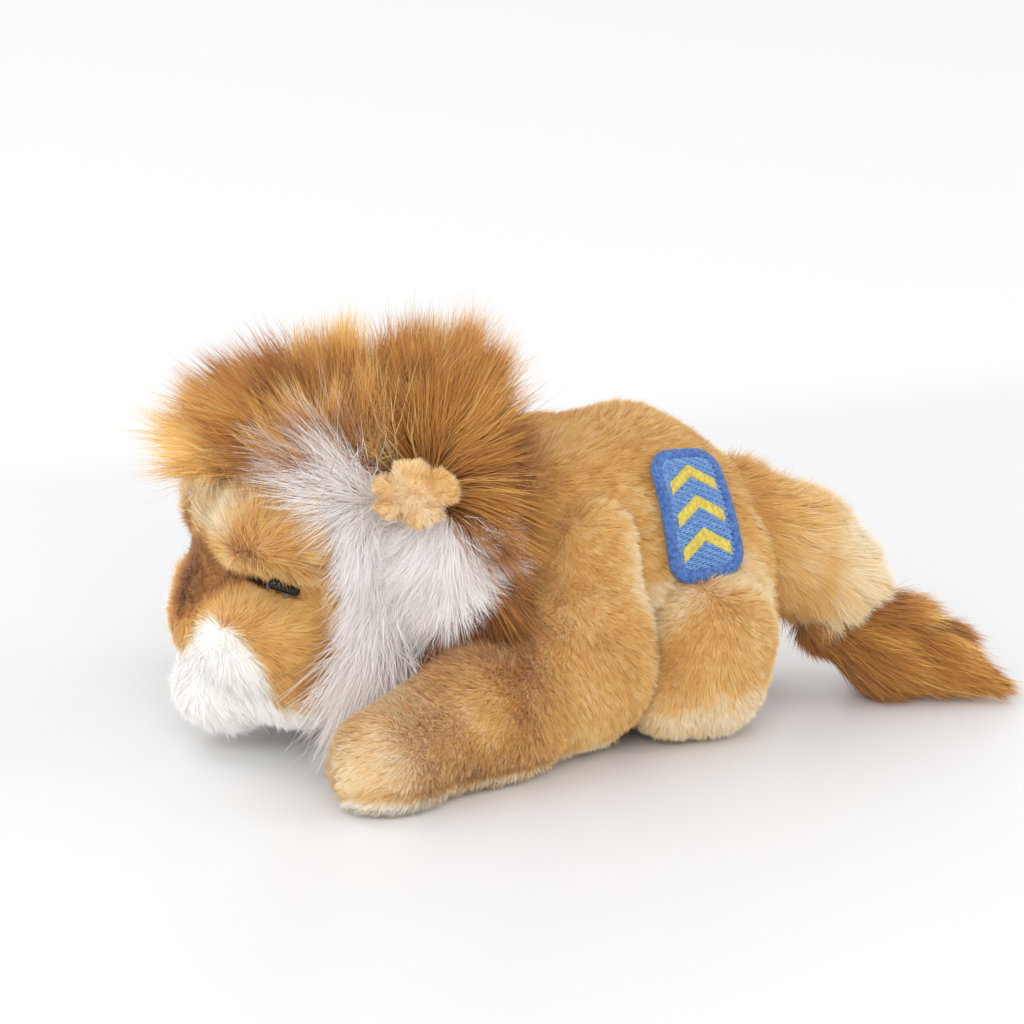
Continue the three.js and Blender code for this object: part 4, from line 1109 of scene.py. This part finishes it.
def field_stitches():
    """Level rows of stitches that fill the field, each third of them shifted."""
    starts, ends = [], []
    for row, up in enumerate(np.arange(0.1 - FIELD_HALF[1], FIELD_HALF[1] + 0.1, ROW_STEP)):
        into_corner = max(0.0, abs(up) - (FIELD_HALF[1] - FIELD_CORNER))
        reach = FIELD_HALF[0] - FIELD_CORNER + math.sqrt(max(0.0, FIELD_CORNER ** 2 - into_corner ** 2))
        marks = np.arange(-13 - ROW_SHIFT * (row % 3), 15, STITCH_LONG).clip(-reach, reach)
        for a, b in zip(marks, marks[1:]):
            if b - a > 0.5:
                starts.append((a, up))
                ends.append((b, up))
    return np.array(starts), np.array(ends)


def chevron_stitches():
    """Upright stitches, side by side, that make three chevrons."""
    starts, ends = [], []
    for foot in CHEVRON_FEET:
        for across in np.arange(-CHEVRON_HALF, CHEVRON_HALF + 0.1, 0.62):
            up = foot + CHEVRON_RISE * (1 - abs(across) / CHEVRON_HALF)
            starts.append((across, up))
            ends.append((across, up + CHEVRON_BAND))
    return np.array(starts), np.array(ends)


def make_patch():
    blue = thread_material("blue thread", paint(40, 84, 160), paint(84, 132, 200))
    pale = thread_material("pale blue thread", paint(84, 134, 200), paint(128, 172, 222))
    yellow = thread_material("yellow thread", paint(206, 180, 50), paint(238, 218, 96))
    make_cloth(blue)
    edge, out = patch_edge(0, 240)
    stitch("patch_border_stitches", edge - out * 3.2, edge + out * 0.6, 1.5, 0.8, blue)
    stitch("patch_field_stitches", *field_stitches(), 1.2, 0.78, pale)
    stitch("patch_chevron_stitches", *chevron_stitches(), 1.75, 0.72, yellow)


# The floor, the backdrop and the light

def make_stage():
    """A wide pale floor that turns paler just behind the toy, where it stands for the backdrop."""
    material, tree, shader = bare_material("studio white")
    place = add(tree, "ShaderNodeSeparateXYZ", {0: add(tree, "ShaderNodeTexCoord").outputs["Object"]})
    far = add(tree, "ShaderNodeMapRange", {0: place.outputs[1], 1: 0.34, 2: 0.4})
    white = ramp(tree, far.outputs[0], [(0, grey(0.84)), (1, grey(0.92))])
    feed(tree, shader, {"Base Color": white, "Roughness": 0.35, "Specular IOR Level": 0.4})
    mesh = bpy.data.meshes.new("table")
    mesh.from_pydata([(-12, -12, 0), (12, -12, 0), (12, 12, 0), (-12, 12, 0)], [], [(0, 1, 2, 3)])
    mesh.materials.append(material)
    table = placed("table", mesh)


def make_lamp(name, place, size, power):
    """A round lamp of a size in metres that shines on the toy with a power in watts."""
    data = bpy.data.lights.new(name, "AREA")
    data.shape = "DISK"
    data.size = size
    data.energy = power
    lamp = placed(name, data)
    lamp.location = place
    lamp.rotation_mode = "QUATERNION"
    lamp.rotation_quaternion = (Vector((0, 0, 0.06)) - Vector(place)).to_track_quat("-Z", "Y")


def make_light():
    world = bpy.data.worlds.new("studio")
    scene.world = world
    world.use_nodes = True
    world.node_tree.nodes["Background"].inputs[0].default_value = (0.97, 0.98, 1.0, 1)
    world.node_tree.nodes["Background"].inputs[1].default_value = 0.82
    make_lamp("back", (-0.8, 1.0, 1.7), 1.2, 8)
    make_lamp("front", (-0.7, -2.1, 1.3), 1.6, 23)
    make_lamp("right", (1.7, -0.8, 0.9), 1.2, 7)
    make_lamp("left", (-1.8, -0.7, 0.7), 1.2, 7)
    scene.cycles.diffuse_bounces = 8  # pale pile hands the light on many times


make_camera()
make_torso()
make_limbs()
make_tail()
make_tuft()
make_head()
make_ears()
make_eyes()
make_patch()
make_washers()
for strand in (short_strand, long_strand):
    bpy.data.objects.remove(strand)
make_stage()
make_light()
scene.view_settings.view_transform = "Standard"
